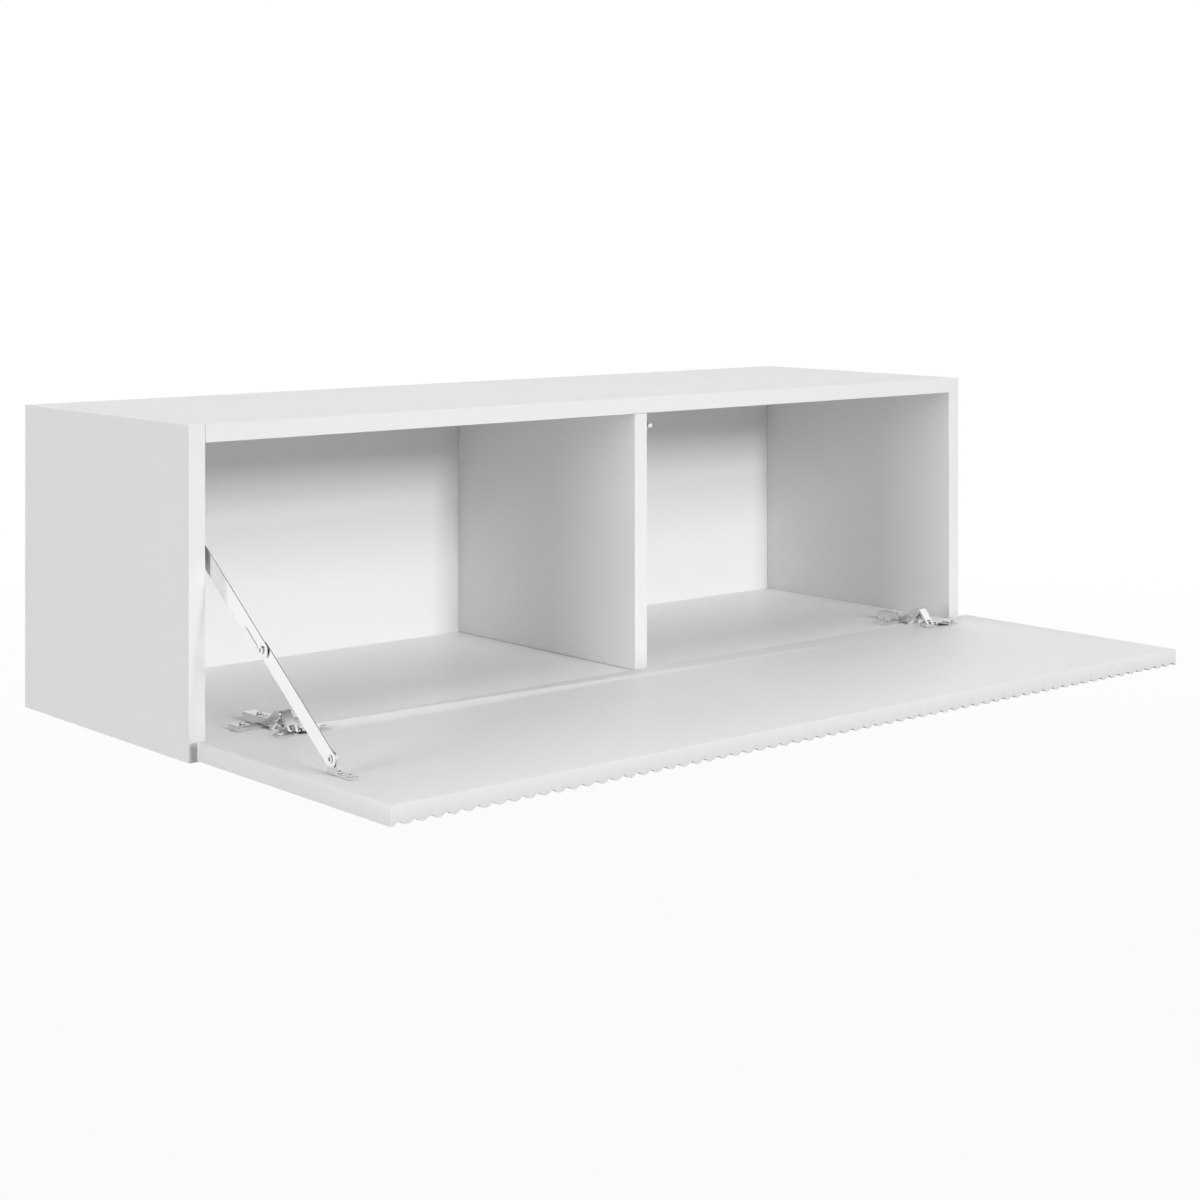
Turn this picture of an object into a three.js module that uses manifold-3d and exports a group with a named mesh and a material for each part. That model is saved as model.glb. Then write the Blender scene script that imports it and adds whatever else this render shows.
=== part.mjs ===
// Floating media console: a wall-hung cabinet of lacquered boards with two bays and one fluted flap
// that opens downwards on two concealed cup hinges and is held level by a folding stay.
// Millimetres. X runs along the width, Y towards the wall, Z up. The origin is the middle of the
// top panel's rear edge, where the cabinet meets the wall. The flap is drawn open.
import * as THREE from "three";
import { mergeVertices } from "three/addons/utils/BufferGeometryUtils.js";
import Module from "manifold-3d";

const wasm = await Module();
wasm.setup();

// Clearances and facets
const seam = 0.3; // between pieces that touch
const overrun = 2; // how far a cut runs past the face it opens
const weld = 1e-4; // vertices closer than this are one
const roundSteps = 16;
const smallSteps = 10;
const cupSteps = 28;
const cornerSteps = 3;

// Carcass
const width = 1000;
const height = 289;
const depth = 306;
const board = 16;
const dividerOffset = 508; // outer left side to the divider's left face
const backThickness = 3;
const backInset = 10; // wall to the back panel
const grooveDepth = 5;

// Flap and the axis it swings about
const flapReveal = 1.5; // side of the cabinet to the end of the flap
const flapThickness = 16.4; // inner face to the crest of the flutes
const fluteCount = 66;
const fluteDepth = 3;
const fluteSteps = 6;
const fluteCrestShare = 0.35; // how far the crests are flattened
const flapTopGap = 2.8;
const closedRise = 2; // closed flap's lower edge above the cabinet's underside
const closedGap = 2.5; // closed flap to the front edges
const axisForward = 16;
const axisDrop = 9.3; // below the floor's upper face
const swing = Math.PI / 2;

// Hinge places and their cups
const leftHingeOffset = 90; // from the left side
const rightHingeOffset = 75; // from the right side
const cupRadius = 17.2;
const cupWall = 1;
const cupEdge = 3.5; // wood left between the bore and the flap's edge
const boreFloor = 1.5; // wood left under the bore, at the flutes' valleys
const flangeThickness = 1.2;
const flangeLength = 55;
const flangeWidth = 14;
const flangeCorner = 5;
const flangeSetback = 5.2; // flange centre line beyond the cup's centre
const cupScrewSpacing = 45;
const rimNotchWidth = 12.4;
const rimNotchDepth = 2.4;
const earThickness = 1.5;
const earRadius = 2.7;
const earGap = 0.4; // link to ear
const pocketWidth = 15.2; // the cup is deep between two shelves
const shelfDrop = 0.8; // shelves below the rim

// Hinge arm, a pressed channel over the plate's rail
const armWidth = 13;
const armSheet = 1.2;
const armRear = 50;
const armLow = 3.2;
const armKneeLow = 1; // the cheeks reach down to here at the front, and stand clear of the floor behind it
const armKneeRear = 4.5;
const armTop = 9.3;
const kneeBack = 9; // where the arm starts to rise
const webFront = 2.5;
const webFrontTop = 13.6;
const noseBackTop = 18.2;
const noseBossRadius = 2.8;
const noseRivetRadius = 2;
const noseRivetHeight = 0.7;
const outerPivotForward = 9.5; // pivots of the links on the arm, from the front plane and the floor
const outerPivotUp = 15.8;
const innerPivotForward = 4;
const innerPivotUp = 9.5;

// Hinge links and their pins in the cup
const outerPinDepth = 2.8; // below the flap's inner face
const innerPinDepth = 2.6;
const pinRadius = 1.2;
const pinClearance = 0.15;
const linkThickness = 1.4;
const linkEyeRadius = 2.1;
const innerEyeRadius = 1.7;
const linkTopRadius = 3.3; // outside of the outer link where it wraps over its pivot on the arm
const linkWrapStart = Math.PI / 6;
const innerLinkRise = 1.8; // height of the link's arch over the line between its pivots
const linkSideGap = 0.3; // link to the arm's cheeks
const innerLinkWidth = 4.4;
const forkGap = 0.5; // inner link to the outer link's fork
const forkShare = 0.3; // length of the fork, as a share of the outer link
const linkSteps = 6;

// Hinge mounting plate
const railWidth = 9.6;
const wingSpan = 66;
const wingFront = 14.5;
const wingRear = 29;
const strapThickness = 2.4;
const padLength = 16;
const padHeight = 5;
const plateScrewSpacing = 47.2;
const railRear = 52;
const fixingScrewBack = 31;
const adjustingScrewBack = 21.5;

// Screws: head radius, head height, shank radius and length
const woodScrew = { head: 3.2, rise: 1.7, shank: 1.6, length: 15 };
const cupScrew = { head: 3.3, rise: 1.7, shank: 1.5, length: 9.5 };
const fixingScrew = { head: 3.2, rise: 1.6, shank: 1.8, length: 6 };
const adjustingScrew = { head: 2.4, rise: 0.9, shank: 1.8, length: 5.5 };
const staySideScrew = { head: 3, rise: 1.4, shank: 1.5, length: 11 };
const stayFlapScrew = { head: 3.1, rise: 1.5, shank: 1.5, length: 10.5 };
const openerScrew = { head: 2.8, rise: 1.3, shank: 1.3, length: 10 };
const hangerScrew = { head: 3.4, rise: 0.9, shank: 1.8, length: 22 };

// Folding stay at the left side
const stayBar = 1.3; // sheet of both bars
const stayStandOff = 2.2; // side panel to the upper bar
const stayBarGap = 0.9; // between the two bars
const stayPivotBack = 16; // behind the front plane
const stayPivotRise = 166.5; // above the floor
const stayReach = 173.7; // flap's hinge end to the lower pivot
const stayPivotHeight = 13; // lower pivot above the flap's inner face
const stayElbowShare = 0.492; // lower bar's share of the straight stay
const upperBarWidth = 16.4;
const lowerBarWidth = 14.6;
const neckLength = 26;
const neckWidth = 11;
const lipHeight = 1.1;
const rivetRadius = 2.3;
const rivetHead = 3.5;
const rivetRise = 1;
const innerRivetRise = 0.3; // heads between the bars
const stayBracketSheet = 1.5;
const stayBracketWidth = 18;
const stayBracketBelow = 9;
const stayBracketAbove = 36;
const staySideScrewRises = [14.5, 27.5]; // above the upper pivot
const stayTabRadius = 6.5;
const stayFootWidth = 10;
const stayFootFront = 26; // foot in front of the pivot
const stayFootRear = 9;
const stayFlapScrewForwards = [3.5, 19]; // in front of the pivot
const stayFlapScrewInset = 5; // from the tab's outer face

// Push opener on the divider
const openerDrop = 12.7; // under the ceiling
const openerFront = 9; // housing behind the front plane
const openerLength = 45;
const openerWidth = 6.4;
const openerHeight = 8;
const openerWall = 2.2;
const openerFlange = 1.6;
const openerFlangeHeight = 22;
const openerScrewBack = 36;
const plungerRadius = 2;
const plungerGap = 0.3; // plunger to bore, and tip to the closed flap
const plungerShoulder = 12; // behind the housing's mouth
const plungerTravel = 3;
const plungerCapRadius = 2.7;
const plungerCapLength = 5;
const plungerDome = 3.6; // radius of the cap's rounded tip
const stemRadius = 0.9;
const stemLength = 12;
const springWire = 0.35; // radius
const springTurns = 5;
const springTurnSteps = 8;
const springWireSteps = 5;

// Wall hangers in the rear corners
const hangerSheet = 2;
const hangerRecess = 1.4; // cabinet's rear plane to the plate
const hangerInset = 3; // from the cabinet's outer faces
const hangerWidth = 52;
const hangerHeight = 40;
const hangerCorner = 4;
const hangerScrewDrop = 29;
const hangerScrewInset = 7; // from the cabinet's side
const keyholeOffset = 34; // from the cabinet's side
const keyholeDrop = 30;
const keyholeRadius = 5;
const keyholeSlot = 5.2;
const keyholeSlotRise = 11;

// Cam fittings and dowels
const camRadius = 7.2;
const camDepth = 12.2;
const camInset = 24; // from the end of the board
const camBoltRadius = 3;
const camBoltReach = 10.5; // into the side panel
const camFrontSetback = 45;
const camRearSetback = 60;
const dowelRadius = 4;
const dowelReach = 10;
const dowelLengthInDivider = 18;
const dowelSetback = 150; // behind the front plane

// Places that follow from the sizes
const leftX = -width / 2;
const rightX = width / 2;
const frontY = -depth;
const topZ = board / 2;
const underZ = topZ - height;
const floorZ = underZ + board;
const ceilingZ = topZ - board;
const dividerX = leftX + dividerOffset;
const backFrontY = -backInset - backThickness;
const axisY = frontY - axisForward;
const axisZ = floorZ - axisDrop;
const flapInnerZ = axisZ + axisForward - closedGap;
const flapEndY = axisY + axisZ - underZ - closedRise;
const flapLength = height - closedRise - flapTopGap;
const cupDepth = flapThickness - fluteDepth - boreFloor - seam;
const boreRadius = cupRadius + seam;

// Finishes
function finish(colour, roughness, metalness) {
  return new THREE.MeshStandardMaterial({ color: new THREE.Color(...colour), roughness, metalness });
}
const lacquer = finish([0.86, 0.86, 0.86], 0.35, 0);
const steel = finish([0.72, 0.72, 0.71], 0.22, 1);
const zinc = finish([0.62, 0.62, 0.61], 0.4, 1);
const plastic = finish([0.78, 0.78, 0.77], 0.5, 0);
const beech = finish([0.7, 0.54, 0.36], 0.7, 0);

// Geometry to a solid and back
function solid(geometry) {
  const loose = geometry.index ? geometry.toNonIndexed() : geometry;
  const bare = new THREE.BufferGeometry().setAttribute("position", loose.getAttribute("position"));
  const merged = mergeVertices(bare, weld);
  const vertProperties = merged.attributes.position.array;
  const triVerts = new Uint32Array(merged.index.array);
  return new wasm.Manifold(new wasm.Mesh({ numProp: 3, vertProperties, triVerts }));
}

function named(name, body, material) {
  const { vertProperties, triVerts, numProp } = body.getMesh();
  const indexed = new THREE.BufferGeometry();
  indexed.setAttribute("position", new THREE.BufferAttribute(vertProperties, numProp));
  indexed.setIndex(new THREE.BufferAttribute(triVerts, 1));
  const geometry = indexed.toNonIndexed();
  geometry.computeVertexNormals();
  const mesh = new THREE.Mesh(geometry, material);
  mesh.name = name;
  return mesh;
}

// A box between two corners
function block([x0, x1], [y0, y1], [z0, z1]) {
  const geometry = new THREE.BoxGeometry(x1 - x0, y1 - y0, z1 - z0);
  geometry.translate((x0 + x1) / 2, (y0 + y1) / 2, (z0 + z1) / 2);
  return solid(geometry);
}

// Round rods along each axis, between two values on it
function rodX(radius, [x0, x1], y, z, steps = smallSteps) {
  const geometry = new THREE.CylinderGeometry(radius, radius, x1 - x0, steps);
  geometry.rotateZ(Math.PI / 2);
  geometry.translate((x0 + x1) / 2, y, z);
  return solid(geometry);
}

function rodY(radius, [y0, y1], x, z, steps = smallSteps) {
  const geometry = new THREE.CylinderGeometry(radius, radius, y1 - y0, steps);
  geometry.translate(x, (y0 + y1) / 2, z);
  return solid(geometry);
}

function rodZ(radius, [z0, z1], x, y, steps = smallSteps) {
  const geometry = new THREE.CylinderGeometry(radius, radius, z1 - z0, steps);
  geometry.rotateX(Math.PI / 2);
  geometry.translate(x, y, (z0 + z1) / 2);
  return solid(geometry);
}

// An outline in Y and Z, given thickness along X
function plateX(shape, [x0, x1], curveSegments = linkSteps) {
  const geometry = new THREE.ExtrudeGeometry(shape, {
    depth: x1 - x0,
    bevelEnabled: false,
    curveSegments,
  });
  const turn = new THREE.Matrix4().makeBasis(
    new THREE.Vector3(0, 1, 0),
    new THREE.Vector3(0, 0, 1),
    new THREE.Vector3(1, 0, 0),
  );
  geometry.applyMatrix4(turn);
  geometry.translate(x0, 0, 0);
  return solid(geometry);
}

// An outline in X and Z, given length from y0 towards the front
function plateY(shape, y0, length) {
  const geometry = new THREE.ExtrudeGeometry(shape, {
    depth: length,
    bevelEnabled: false,
    curveSegments: cornerSteps,
  });
  geometry.rotateX(Math.PI / 2);
  geometry.translate(0, y0, 0);
  return solid(geometry);
}

// An outline in X and Y, given height from z0 upwards
function plateZ(shape, z0, rise) {
  const geometry = new THREE.ExtrudeGeometry(shape, {
    depth: rise,
    bevelEnabled: false,
    curveSegments: cornerSteps,
  });
  geometry.translate(0, 0, z0);
  return solid(geometry);
}

function outline(points) {
  return new THREE.Shape(points.map(([a, b]) => new THREE.Vector2(a, b)));
}

function roundedRectangle(x, y, length, breadth, corner) {
  const a = length / 2;
  const b = breadth / 2;
  const quarter = Math.PI / 2;
  const shape = new THREE.Shape();
  shape.absarc(x + a - corner, y + b - corner, corner, 0, quarter);
  shape.absarc(x - a + corner, y + b - corner, corner, quarter, 2 * quarter);
  shape.absarc(x - a + corner, y - b + corner, corner, 2 * quarter, 3 * quarter);
  shape.absarc(x + a - corner, y - b + corner, corner, 3 * quarter, 4 * quarter);
  return shape;
}

// A pan-head screw along one axis, its head on a face that looks in direction `out`
function screwSolid(size, grow, rod, face, out, u, v) {
  const seat = face + out * seam;
  const past = grow ? overrun : seam;
  const shank = [seat - out * (size.length + grow), seat + out * past].sort((a, b) => a - b);
  const head = [seat, seat + out * size.rise].sort((a, b) => a - b);
  const body = rod(size.shank + grow, shank, u, v);
  return grow ? body : body.add(rod(size.head, head, u, v));
}

// Cam fitting: a cam in a blind bore from the board's underside, and the bolt it pulls on
function camFitting(side, underFace, y, grow) {
  const inner = side * (width / 2 - board - camInset);
  const outer = side * (width / 2 - board + camBoltReach + grow);
  const across = [inner, outer].sort((a, b) => a - b);
  const low = grow ? underFace - overrun : underFace;
  const cam = rodZ(camRadius + grow, [low, underFace + camDepth + grow], inner, y, roundSteps);
  return cam.add(rodX(camBoltRadius + grow, across, y, underFace + board / 2));
}

const camPlaces = [];
for (const [side, sideName] of [[-1, "left"], [1, "right"]]) {
  for (const [underFace, level] of [[ceilingZ, "upper"], [underZ, "lower"]]) {
    for (const [y, place] of [[frontY + camFrontSetback, "front"], [-camRearSetback, "rear"]]) {
      camPlaces.push({ name: `cam_fitting_${sideName}_${level}_${place}`, side, underFace, y });
    }
  }
}

// Dowels between the divider and the boards above and below it
const dowelX = dividerX + board / 2;
const dowelY = frontY + dowelSetback;
const dowels = [
  { name: "divider_dowel_upper", span: [ceilingZ - dowelLengthInDivider, ceilingZ + dowelReach] },
  { name: "divider_dowel_lower", span: [floorZ - dowelReach, floorZ + dowelLengthInDivider] },
];

function dowelSolid({ span: [z0, z1] }, grow) {
  return rodZ(dowelRadius + grow, [z0 - grow, z1 + grow], dowelX, dowelY);
}

// The back panel, and the groove that the four outer boards hold it in
function backSolid(grow) {
  return block(
    [leftX + board - grooveDepth - grow, rightX - board + grooveDepth + grow],
    [backFrontY - grow, -backInset + grow],
    [floorZ - grooveDepth - grow, ceilingZ + grooveDepth + grow],
  );
}

// Wall hanger plate in a rear corner: a keyhole over the space behind the back panel
function hangerSolid(side, grow) {
  const x = side * (width / 2 - hangerInset - hangerWidth / 2);
  const z = topZ - hangerInset - hangerHeight / 2;
  const shape = roundedRectangle(x, z, hangerWidth + 2 * grow, hangerHeight + 2 * grow, hangerCorner + grow);
  const rear = grow ? overrun : -hangerRecess;
  return plateY(shape, rear, rear + hangerRecess + hangerSheet + grow);
}

function hangerScrewSolid(side, grow) {
  const x = side * (width / 2 - hangerScrewInset);
  const z = topZ - hangerScrewDrop;
  return screwSolid(hangerScrew, grow, rodY, -hangerRecess, 1, x, z);
}

function hangerPlate(side) {
  const x = side * (width / 2 - keyholeOffset);
  const z = topZ - keyholeDrop;
  const through = [-hangerRecess - hangerSheet - overrun, overrun];
  const hole = rodY(keyholeRadius, through, x, z, roundSteps);
  const half = keyholeSlot / 2;
  const slot = block([x - half, x + half], through, [z, z + keyholeSlotRise]);
  return hangerSolid(side, 0).subtract(hole).subtract(slot).subtract(hangerScrewSolid(side, seam));
}

// Hinge geometry about its own origin: the middle of the hinge, the front plane and the floor's face
const hingeAxis = new THREE.Vector2(-axisForward, -axisDrop);
const outerArmPivot = new THREE.Vector2(-outerPivotForward, outerPivotUp);
const innerArmPivot = new THREE.Vector2(-innerPivotForward, innerPivotUp);
const cupFaceZ = flapInnerZ - floorZ;
const cupCentreY = flapEndY - frontY - cupEdge - boreRadius;

// A link keeps its length, open and closed, when its cup pin lies half the swing ahead of its arm
// pivot, as seen from the axis
function cupPivot(armPivot, pinDepth) {
  const angle = armPivot.clone().sub(hingeAxis).angle() + swing / 2;
  const rise = cupFaceZ - pinDepth - hingeAxis.y;
  return new THREE.Vector2(hingeAxis.x + rise / Math.tan(angle), hingeAxis.y + rise);
}
const outerCupPivot = cupPivot(outerArmPivot, outerPinDepth);
const innerCupPivot = cupPivot(innerArmPivot, innerPinDepth);

// An arched band, along an arc through two pivots
function archBand(from, to, rise, thickness) {
  const chord = to.clone().sub(from);
  const middle = from.clone().add(to).multiplyScalar(0.5);
  const up = new THREE.Vector2(-chord.y, chord.x).normalize();
  const radius = (chord.lengthSq() / 4 + rise * rise) / (2 * rise);
  const centre = middle.clone().addScaledVector(up, rise - radius);
  const start = from.clone().sub(centre).angle();
  const sweep = 2 * Math.asin(chord.length() / (2 * radius));
  const points = [];
  for (const [r, order] of [[radius + thickness / 2, 1], [radius - thickness / 2, -1]]) {
    for (let i = 0; i <= linkSteps; i += 1) {
      const along = order > 0 ? i / linkSteps : 1 - i / linkSteps;
      const angle = start - sweep * along;
      points.push([centre.x + r * Math.cos(angle), centre.y + r * Math.sin(angle)]);
    }
  }
  return outline(points);
}

// The outer link's strip: wrapped over the pivot on the arm, then straight down to the cup
function wrappedBand(startShare) {
  const chord = outerArmPivot.clone().sub(outerCupPivot);
  const taper = Math.asin((linkTopRadius - linkEyeRadius) / chord.length());
  const lean = chord.angle() + Math.PI / 2 + taper;
  const out = new THREE.Vector2(Math.cos(lean), Math.sin(lean));
  const points = [];
  for (const [depth, order] of [[0, 1], [linkThickness, -1]]) {
    const top = linkTopRadius - depth;
    const line = [];
    for (let i = 0; i <= linkSteps; i += 1) {
      const angle = linkWrapStart + (lean - linkWrapStart) * i / linkSteps;
      line.push([outerArmPivot.x + top * Math.cos(angle), outerArmPivot.y + top * Math.sin(angle)]);
    }
    const foot = outerCupPivot.clone().addScaledVector(out, linkEyeRadius - depth);
    const end = foot.lerp(outerArmPivot.clone().addScaledVector(out, top), startShare);
    line.push([end.x, end.y]);
    points.push(...(order > 0 ? line : line.reverse()));
  }
  return outline(points.reverse());
}

function outerLinkSolid() {
  const half = armWidth / 2 - armSheet - linkSideGap;
  const inner = innerLinkWidth / 2 + forkGap;
  const band = wrappedBand(0);
  const web = wrappedBand(forkShare);
  let body = plateX(web, [-half, half]);
  body = body.add(rodX(linkEyeRadius, [-half, half], outerArmPivot.x, outerArmPivot.y, roundSteps));
  for (const span of [[-half, -inner], [inner, half]]) {
    body = body.add(plateX(band, span));
    body = body.add(rodX(linkEyeRadius, span, outerCupPivot.x, outerCupPivot.y, roundSteps));
  }
  const hole = pinRadius + pinClearance;
  return body.subtract(rodX(hole, [-armWidth, armWidth], outerCupPivot.x, outerCupPivot.y, roundSteps));
}

function innerLinkSolid() {
  const span = [-innerLinkWidth / 2, innerLinkWidth / 2];
  const band = archBand(innerCupPivot, innerArmPivot, innerLinkRise, linkThickness);
  const body = plateX(band, span)
    .add(rodX(innerEyeRadius + pinClearance, span, innerArmPivot.x, innerArmPivot.y, roundSteps))
    .add(rodX(innerEyeRadius + pinClearance, span, innerCupPivot.x, innerCupPivot.y, roundSteps));
  return body.subtract(rodX(pinRadius + pinClearance, [-armWidth, armWidth], innerCupPivot.x,
    innerCupPivot.y, roundSteps));
}

// Cup with its flange, two ears for the pins and two stub pivots for the outer link
function cupSolid() {
  const earInner = armWidth / 2 - armSheet - linkSideGap + earGap;
  const cupFloorZ = cupFaceZ - cupDepth;
  const flange = roundedRectangle(0, cupCentreY - flangeSetback, flangeLength, flangeWidth, flangeCorner);
  const rim = cupFaceZ + flangeThickness;
  const hollow = rodZ(cupRadius - cupWall, [cupFloorZ + cupWall, rim + overrun], 0, cupCentreY, cupSteps);
  const acrossPocket = [-pocketWidth / 2, pocketWidth / 2];
  const wholeDepth = [cupCentreY - cupRadius, cupCentreY + cupRadius];
  const pocket = hollow.intersect(block(acrossPocket, wholeDepth, [cupFloorZ, rim + overrun]));
  let body = rodZ(cupRadius, [cupFloorZ, rim], 0, cupCentreY, cupSteps)
    .add(plateZ(flange, cupFaceZ + seam, flangeThickness - seam))
    .subtract(pocket)
    .subtract(rodZ(cupRadius - cupWall, [rim - shelfDrop, rim + overrun], 0, cupCentreY, cupSteps));
  const left = outerCupPivot.x - earRadius;
  const right = innerCupPivot.x + earRadius;
  const ear = new THREE.Shape();
  ear.moveTo(left, cupFloorZ);
  ear.lineTo(right, cupFloorZ);
  ear.absarc(innerCupPivot.x, innerCupPivot.y, earRadius, 0, Math.PI / 2);
  ear.absarc(outerCupPivot.x, outerCupPivot.y, earRadius, Math.PI / 2, Math.PI);
  const envelope = rodZ(cupRadius, [cupFloorZ, cupFaceZ + overrun], 0, cupCentreY, cupSteps);
  for (const side of [-1, 1]) {
    const span = [side * earInner, side * (earInner + earThickness)].sort((a, b) => a - b);
    const stub = [side * (innerLinkWidth / 2 + forkGap), side * earInner].sort((a, b) => a - b);
    body = body.add(plateX(ear, span).intersect(envelope));
    body = body.add(rodX(pinRadius, stub, outerCupPivot.x, outerCupPivot.y));
  }
  const notch = block([-rimNotchWidth / 2, rimNotchWidth / 2], [innerCupPivot.x, cupCentreY + cupRadius + overrun],
    [cupFaceZ - rimNotchDepth, rim + overrun]);
  body = body.subtract(notch);
  body = body.subtract(pinSolid(pinClearance / 2));
  for (const side of [-1, 1]) {
    body = body.subtract(cupScrewSolid(side, seam));
  }
  return body;
}

function pinSolid(grow) {
  const end = armWidth / 2 - armSheet - linkSideGap + earGap + earThickness;
  return rodX(pinRadius + grow, [-end - grow, end + grow], innerCupPivot.x, innerCupPivot.y);
}

function cupScrewSolid(side, grow) {
  const face = cupFaceZ + flangeThickness;
  return screwSolid(cupScrew, grow, rodZ, face, 1, side * cupScrewSpacing / 2, cupCentreY - flangeSetback);
}

// Arm: two cheeks joined by a web, with rivets at the link pivots
function armSolid() {
  const half = armWidth / 2;
  const cheek = new THREE.Shape();
  cheek.moveTo(armRear, armLow);
  cheek.lineTo(armRear, armTop);
  cheek.lineTo(kneeBack, armTop);
  cheek.lineTo(-innerPivotForward, noseBackTop);
  cheek.absarc(outerArmPivot.x, outerArmPivot.y, noseBossRadius, Math.PI / 2, Math.PI * 1.25);
  cheek.absarc(innerArmPivot.x, innerArmPivot.y, noseBossRadius, Math.PI, Math.PI * 1.5);
  cheek.lineTo(0, armKneeLow);
  cheek.lineTo(armKneeRear, armKneeLow);
  cheek.lineTo(armKneeRear, armLow);
  const web = outline([
    [armRear, armTop],
    [kneeBack, armTop],
    [webFront, webFrontTop],
    [webFront, webFrontTop - armSheet],
    [kneeBack, armTop - armSheet],
    [armRear, armTop - armSheet],
  ].reverse());
  let body = plateX(web, [-half, half]);
  for (const side of [-1, 1]) {
    const span = [side * (half - armSheet), side * half].sort((a, b) => a - b);
    const rivet = [side * half, side * (half + noseRivetHeight)].sort((a, b) => a - b);
    body = body.add(plateX(cheek, span));
    for (const pivot of [outerArmPivot, innerArmPivot]) {
      body = body.add(rodX(noseRivetRadius, rivet, pivot.x, pivot.y));
    }
  }
  return body.subtract(fixingScrewSolid(seam)).subtract(adjustingScrewSolid(seam));
}

function fixingScrewSolid(grow) {
  return screwSolid(fixingScrew, grow, rodZ, armTop, 1, 0, fixingScrewBack);
}

function adjustingScrewSolid(grow) {
  return screwSolid(adjustingScrew, grow, rodZ, armTop, 1, 0, adjustingScrewBack);
}

function plateScrewSolid(side, grow) {
  const face = padHeight + seam;
  const y = (wingFront + wingRear) / 2;
  return screwSolid(woodScrew, grow, rodZ, face, 1, side * plateScrewSpacing / 2, y);
}

// Mounting plate: a rail under the arm and two wings with raised pads
function plateSolid() {
  const end = wingSpan / 2;
  const depthSpan = [wingFront, wingRear];
  let body = block([-end, end], depthSpan, [seam, strapThickness]);
  body = body.add(block([-railWidth / 2, railWidth / 2], [wingFront, railRear], [seam, armTop - armSheet - seam]));
  for (const side of [-1, 1]) {
    const pad = [side * (end - padLength), side * end].sort((a, b) => a - b);
    body = body.add(block(pad, depthSpan, [seam, padHeight + seam]));
    body = body.subtract(plateScrewSolid(side, seam));
  }
  return body.subtract(fixingScrewSolid(seam)).subtract(adjustingScrewSolid(seam));
}

// One whole concealed hinge
const sideNames = [[-1, "1"], [1, "2"]];
function hinge(name, x) {
  const group = new THREE.Group();
  group.position.set(x, frontY, floorZ);
  group.add(named(`${name}_plate`, plateSolid(), zinc));
  group.add(named(`${name}_arm`, armSolid(), steel));
  group.add(named(`${name}_cup`, cupSolid(), steel));
  group.add(named(`${name}_cup_pin`, pinSolid(0), steel));
  group.add(named(`${name}_outer_link`, outerLinkSolid(), steel));
  group.add(named(`${name}_inner_link`, innerLinkSolid(), steel));
  group.add(named(`${name}_fixing_screw`, fixingScrewSolid(0), steel));
  group.add(named(`${name}_adjusting_screw`, adjustingScrewSolid(0), steel));
  for (const [side, number] of sideNames) {
    group.add(named(`${name}_plate_screw_${number}`, plateScrewSolid(side, 0), steel));
    group.add(named(`${name}_cup_screw_${number}`, cupScrewSolid(side, 0), steel));
  }
  return group;
}
const hinges = [
  { name: "hinge_left", x: leftX + leftHingeOffset },
  { name: "hinge_right", x: rightX - rightHingeOffset },
];

// Folding stay. Its places are given about the left side's inner face, the front plane and the floor
const stayX = leftX + board;
const stayTop = new THREE.Vector2(stayPivotBack, stayPivotRise);
const stayFoot = new THREE.Vector2(flapEndY - frontY - stayReach, cupFaceZ + stayPivotHeight);
const stayElbow = stayFoot.clone().lerp(stayTop, stayElbowShare);
const upperSpan = [stayStandOff, stayStandOff + stayBar];
const lowerSpan = [upperSpan[1] + stayBarGap, upperSpan[1] + stayBarGap + stayBar];
const tabSpan = [lowerSpan[1] + seam, lowerSpan[1] + seam + stayBracketSheet];
const rivetHole = rivetRadius + pinClearance;

// A point a distance along and across the line from one pivot to another
function beside(from, to, along, across) {
  const t = to.clone().sub(from).normalize();
  return [from.x + t.x * along - t.y * across, from.y + t.y * along + t.x * across];
}

function barShape(from, to, breadth) {
  const angle = to.clone().sub(from).angle();
  const quarter = Math.PI / 2;
  const shape = new THREE.Shape();
  shape.absarc(to.x, to.y, breadth / 2, angle - quarter, angle + quarter);
  shape.absarc(from.x, from.y, breadth / 2, angle + quarter, angle + 3 * quarter);
  return shape;
}

// Upper bar: full width from its pivot, then a neck towards the elbow with a stop lip along it
function upperBarSolid() {
  const half = upperBarWidth / 2;
  const neckEdge = half - neckWidth;
  const relief = outline([
    beside(stayElbow, stayTop, -upperBarWidth, -half - overrun),
    beside(stayElbow, stayTop, neckLength + upperBarWidth - neckWidth, -half - overrun),
    beside(stayElbow, stayTop, neckLength, neckEdge),
    beside(stayElbow, stayTop, -upperBarWidth, neckEdge),
  ]);
  const lip = outline([
    beside(stayElbow, stayTop, rivetHead + stayBar, neckEdge),
    beside(stayElbow, stayTop, neckLength, neckEdge),
    beside(stayElbow, stayTop, neckLength, neckEdge + stayBar),
    beside(stayElbow, stayTop, rivetHead + stayBar, neckEdge + stayBar),
  ]);
  const through = [upperSpan[0] - overrun, upperSpan[1] + overrun];
  return plateX(barShape(stayElbow, stayTop, upperBarWidth), upperSpan)
    .subtract(plateX(relief, through))
    .add(plateX(lip, [upperSpan[0] - lipHeight, upperSpan[1]]))
    .subtract(rodX(rivetHole, through, stayTop.x, stayTop.y))
    .subtract(rodX(rivetHole, through, stayElbow.x, stayElbow.y));
}

// Lower bar: round ends, and the far head of the elbow rivet
function lowerBarSolid() {
  const headSpan = [lowerSpan[1] - seam, lowerSpan[1] + rivetRise];
  const through = [lowerSpan[0] - overrun, lowerSpan[1] + overrun];
  return plateX(barShape(stayFoot, stayElbow, lowerBarWidth), lowerSpan)
    .add(rodX(rivetHead, headSpan, stayElbow.x, stayElbow.y))
    .subtract(rodX(rivetHole, through, stayFoot.x, stayFoot.y));
}

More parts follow.
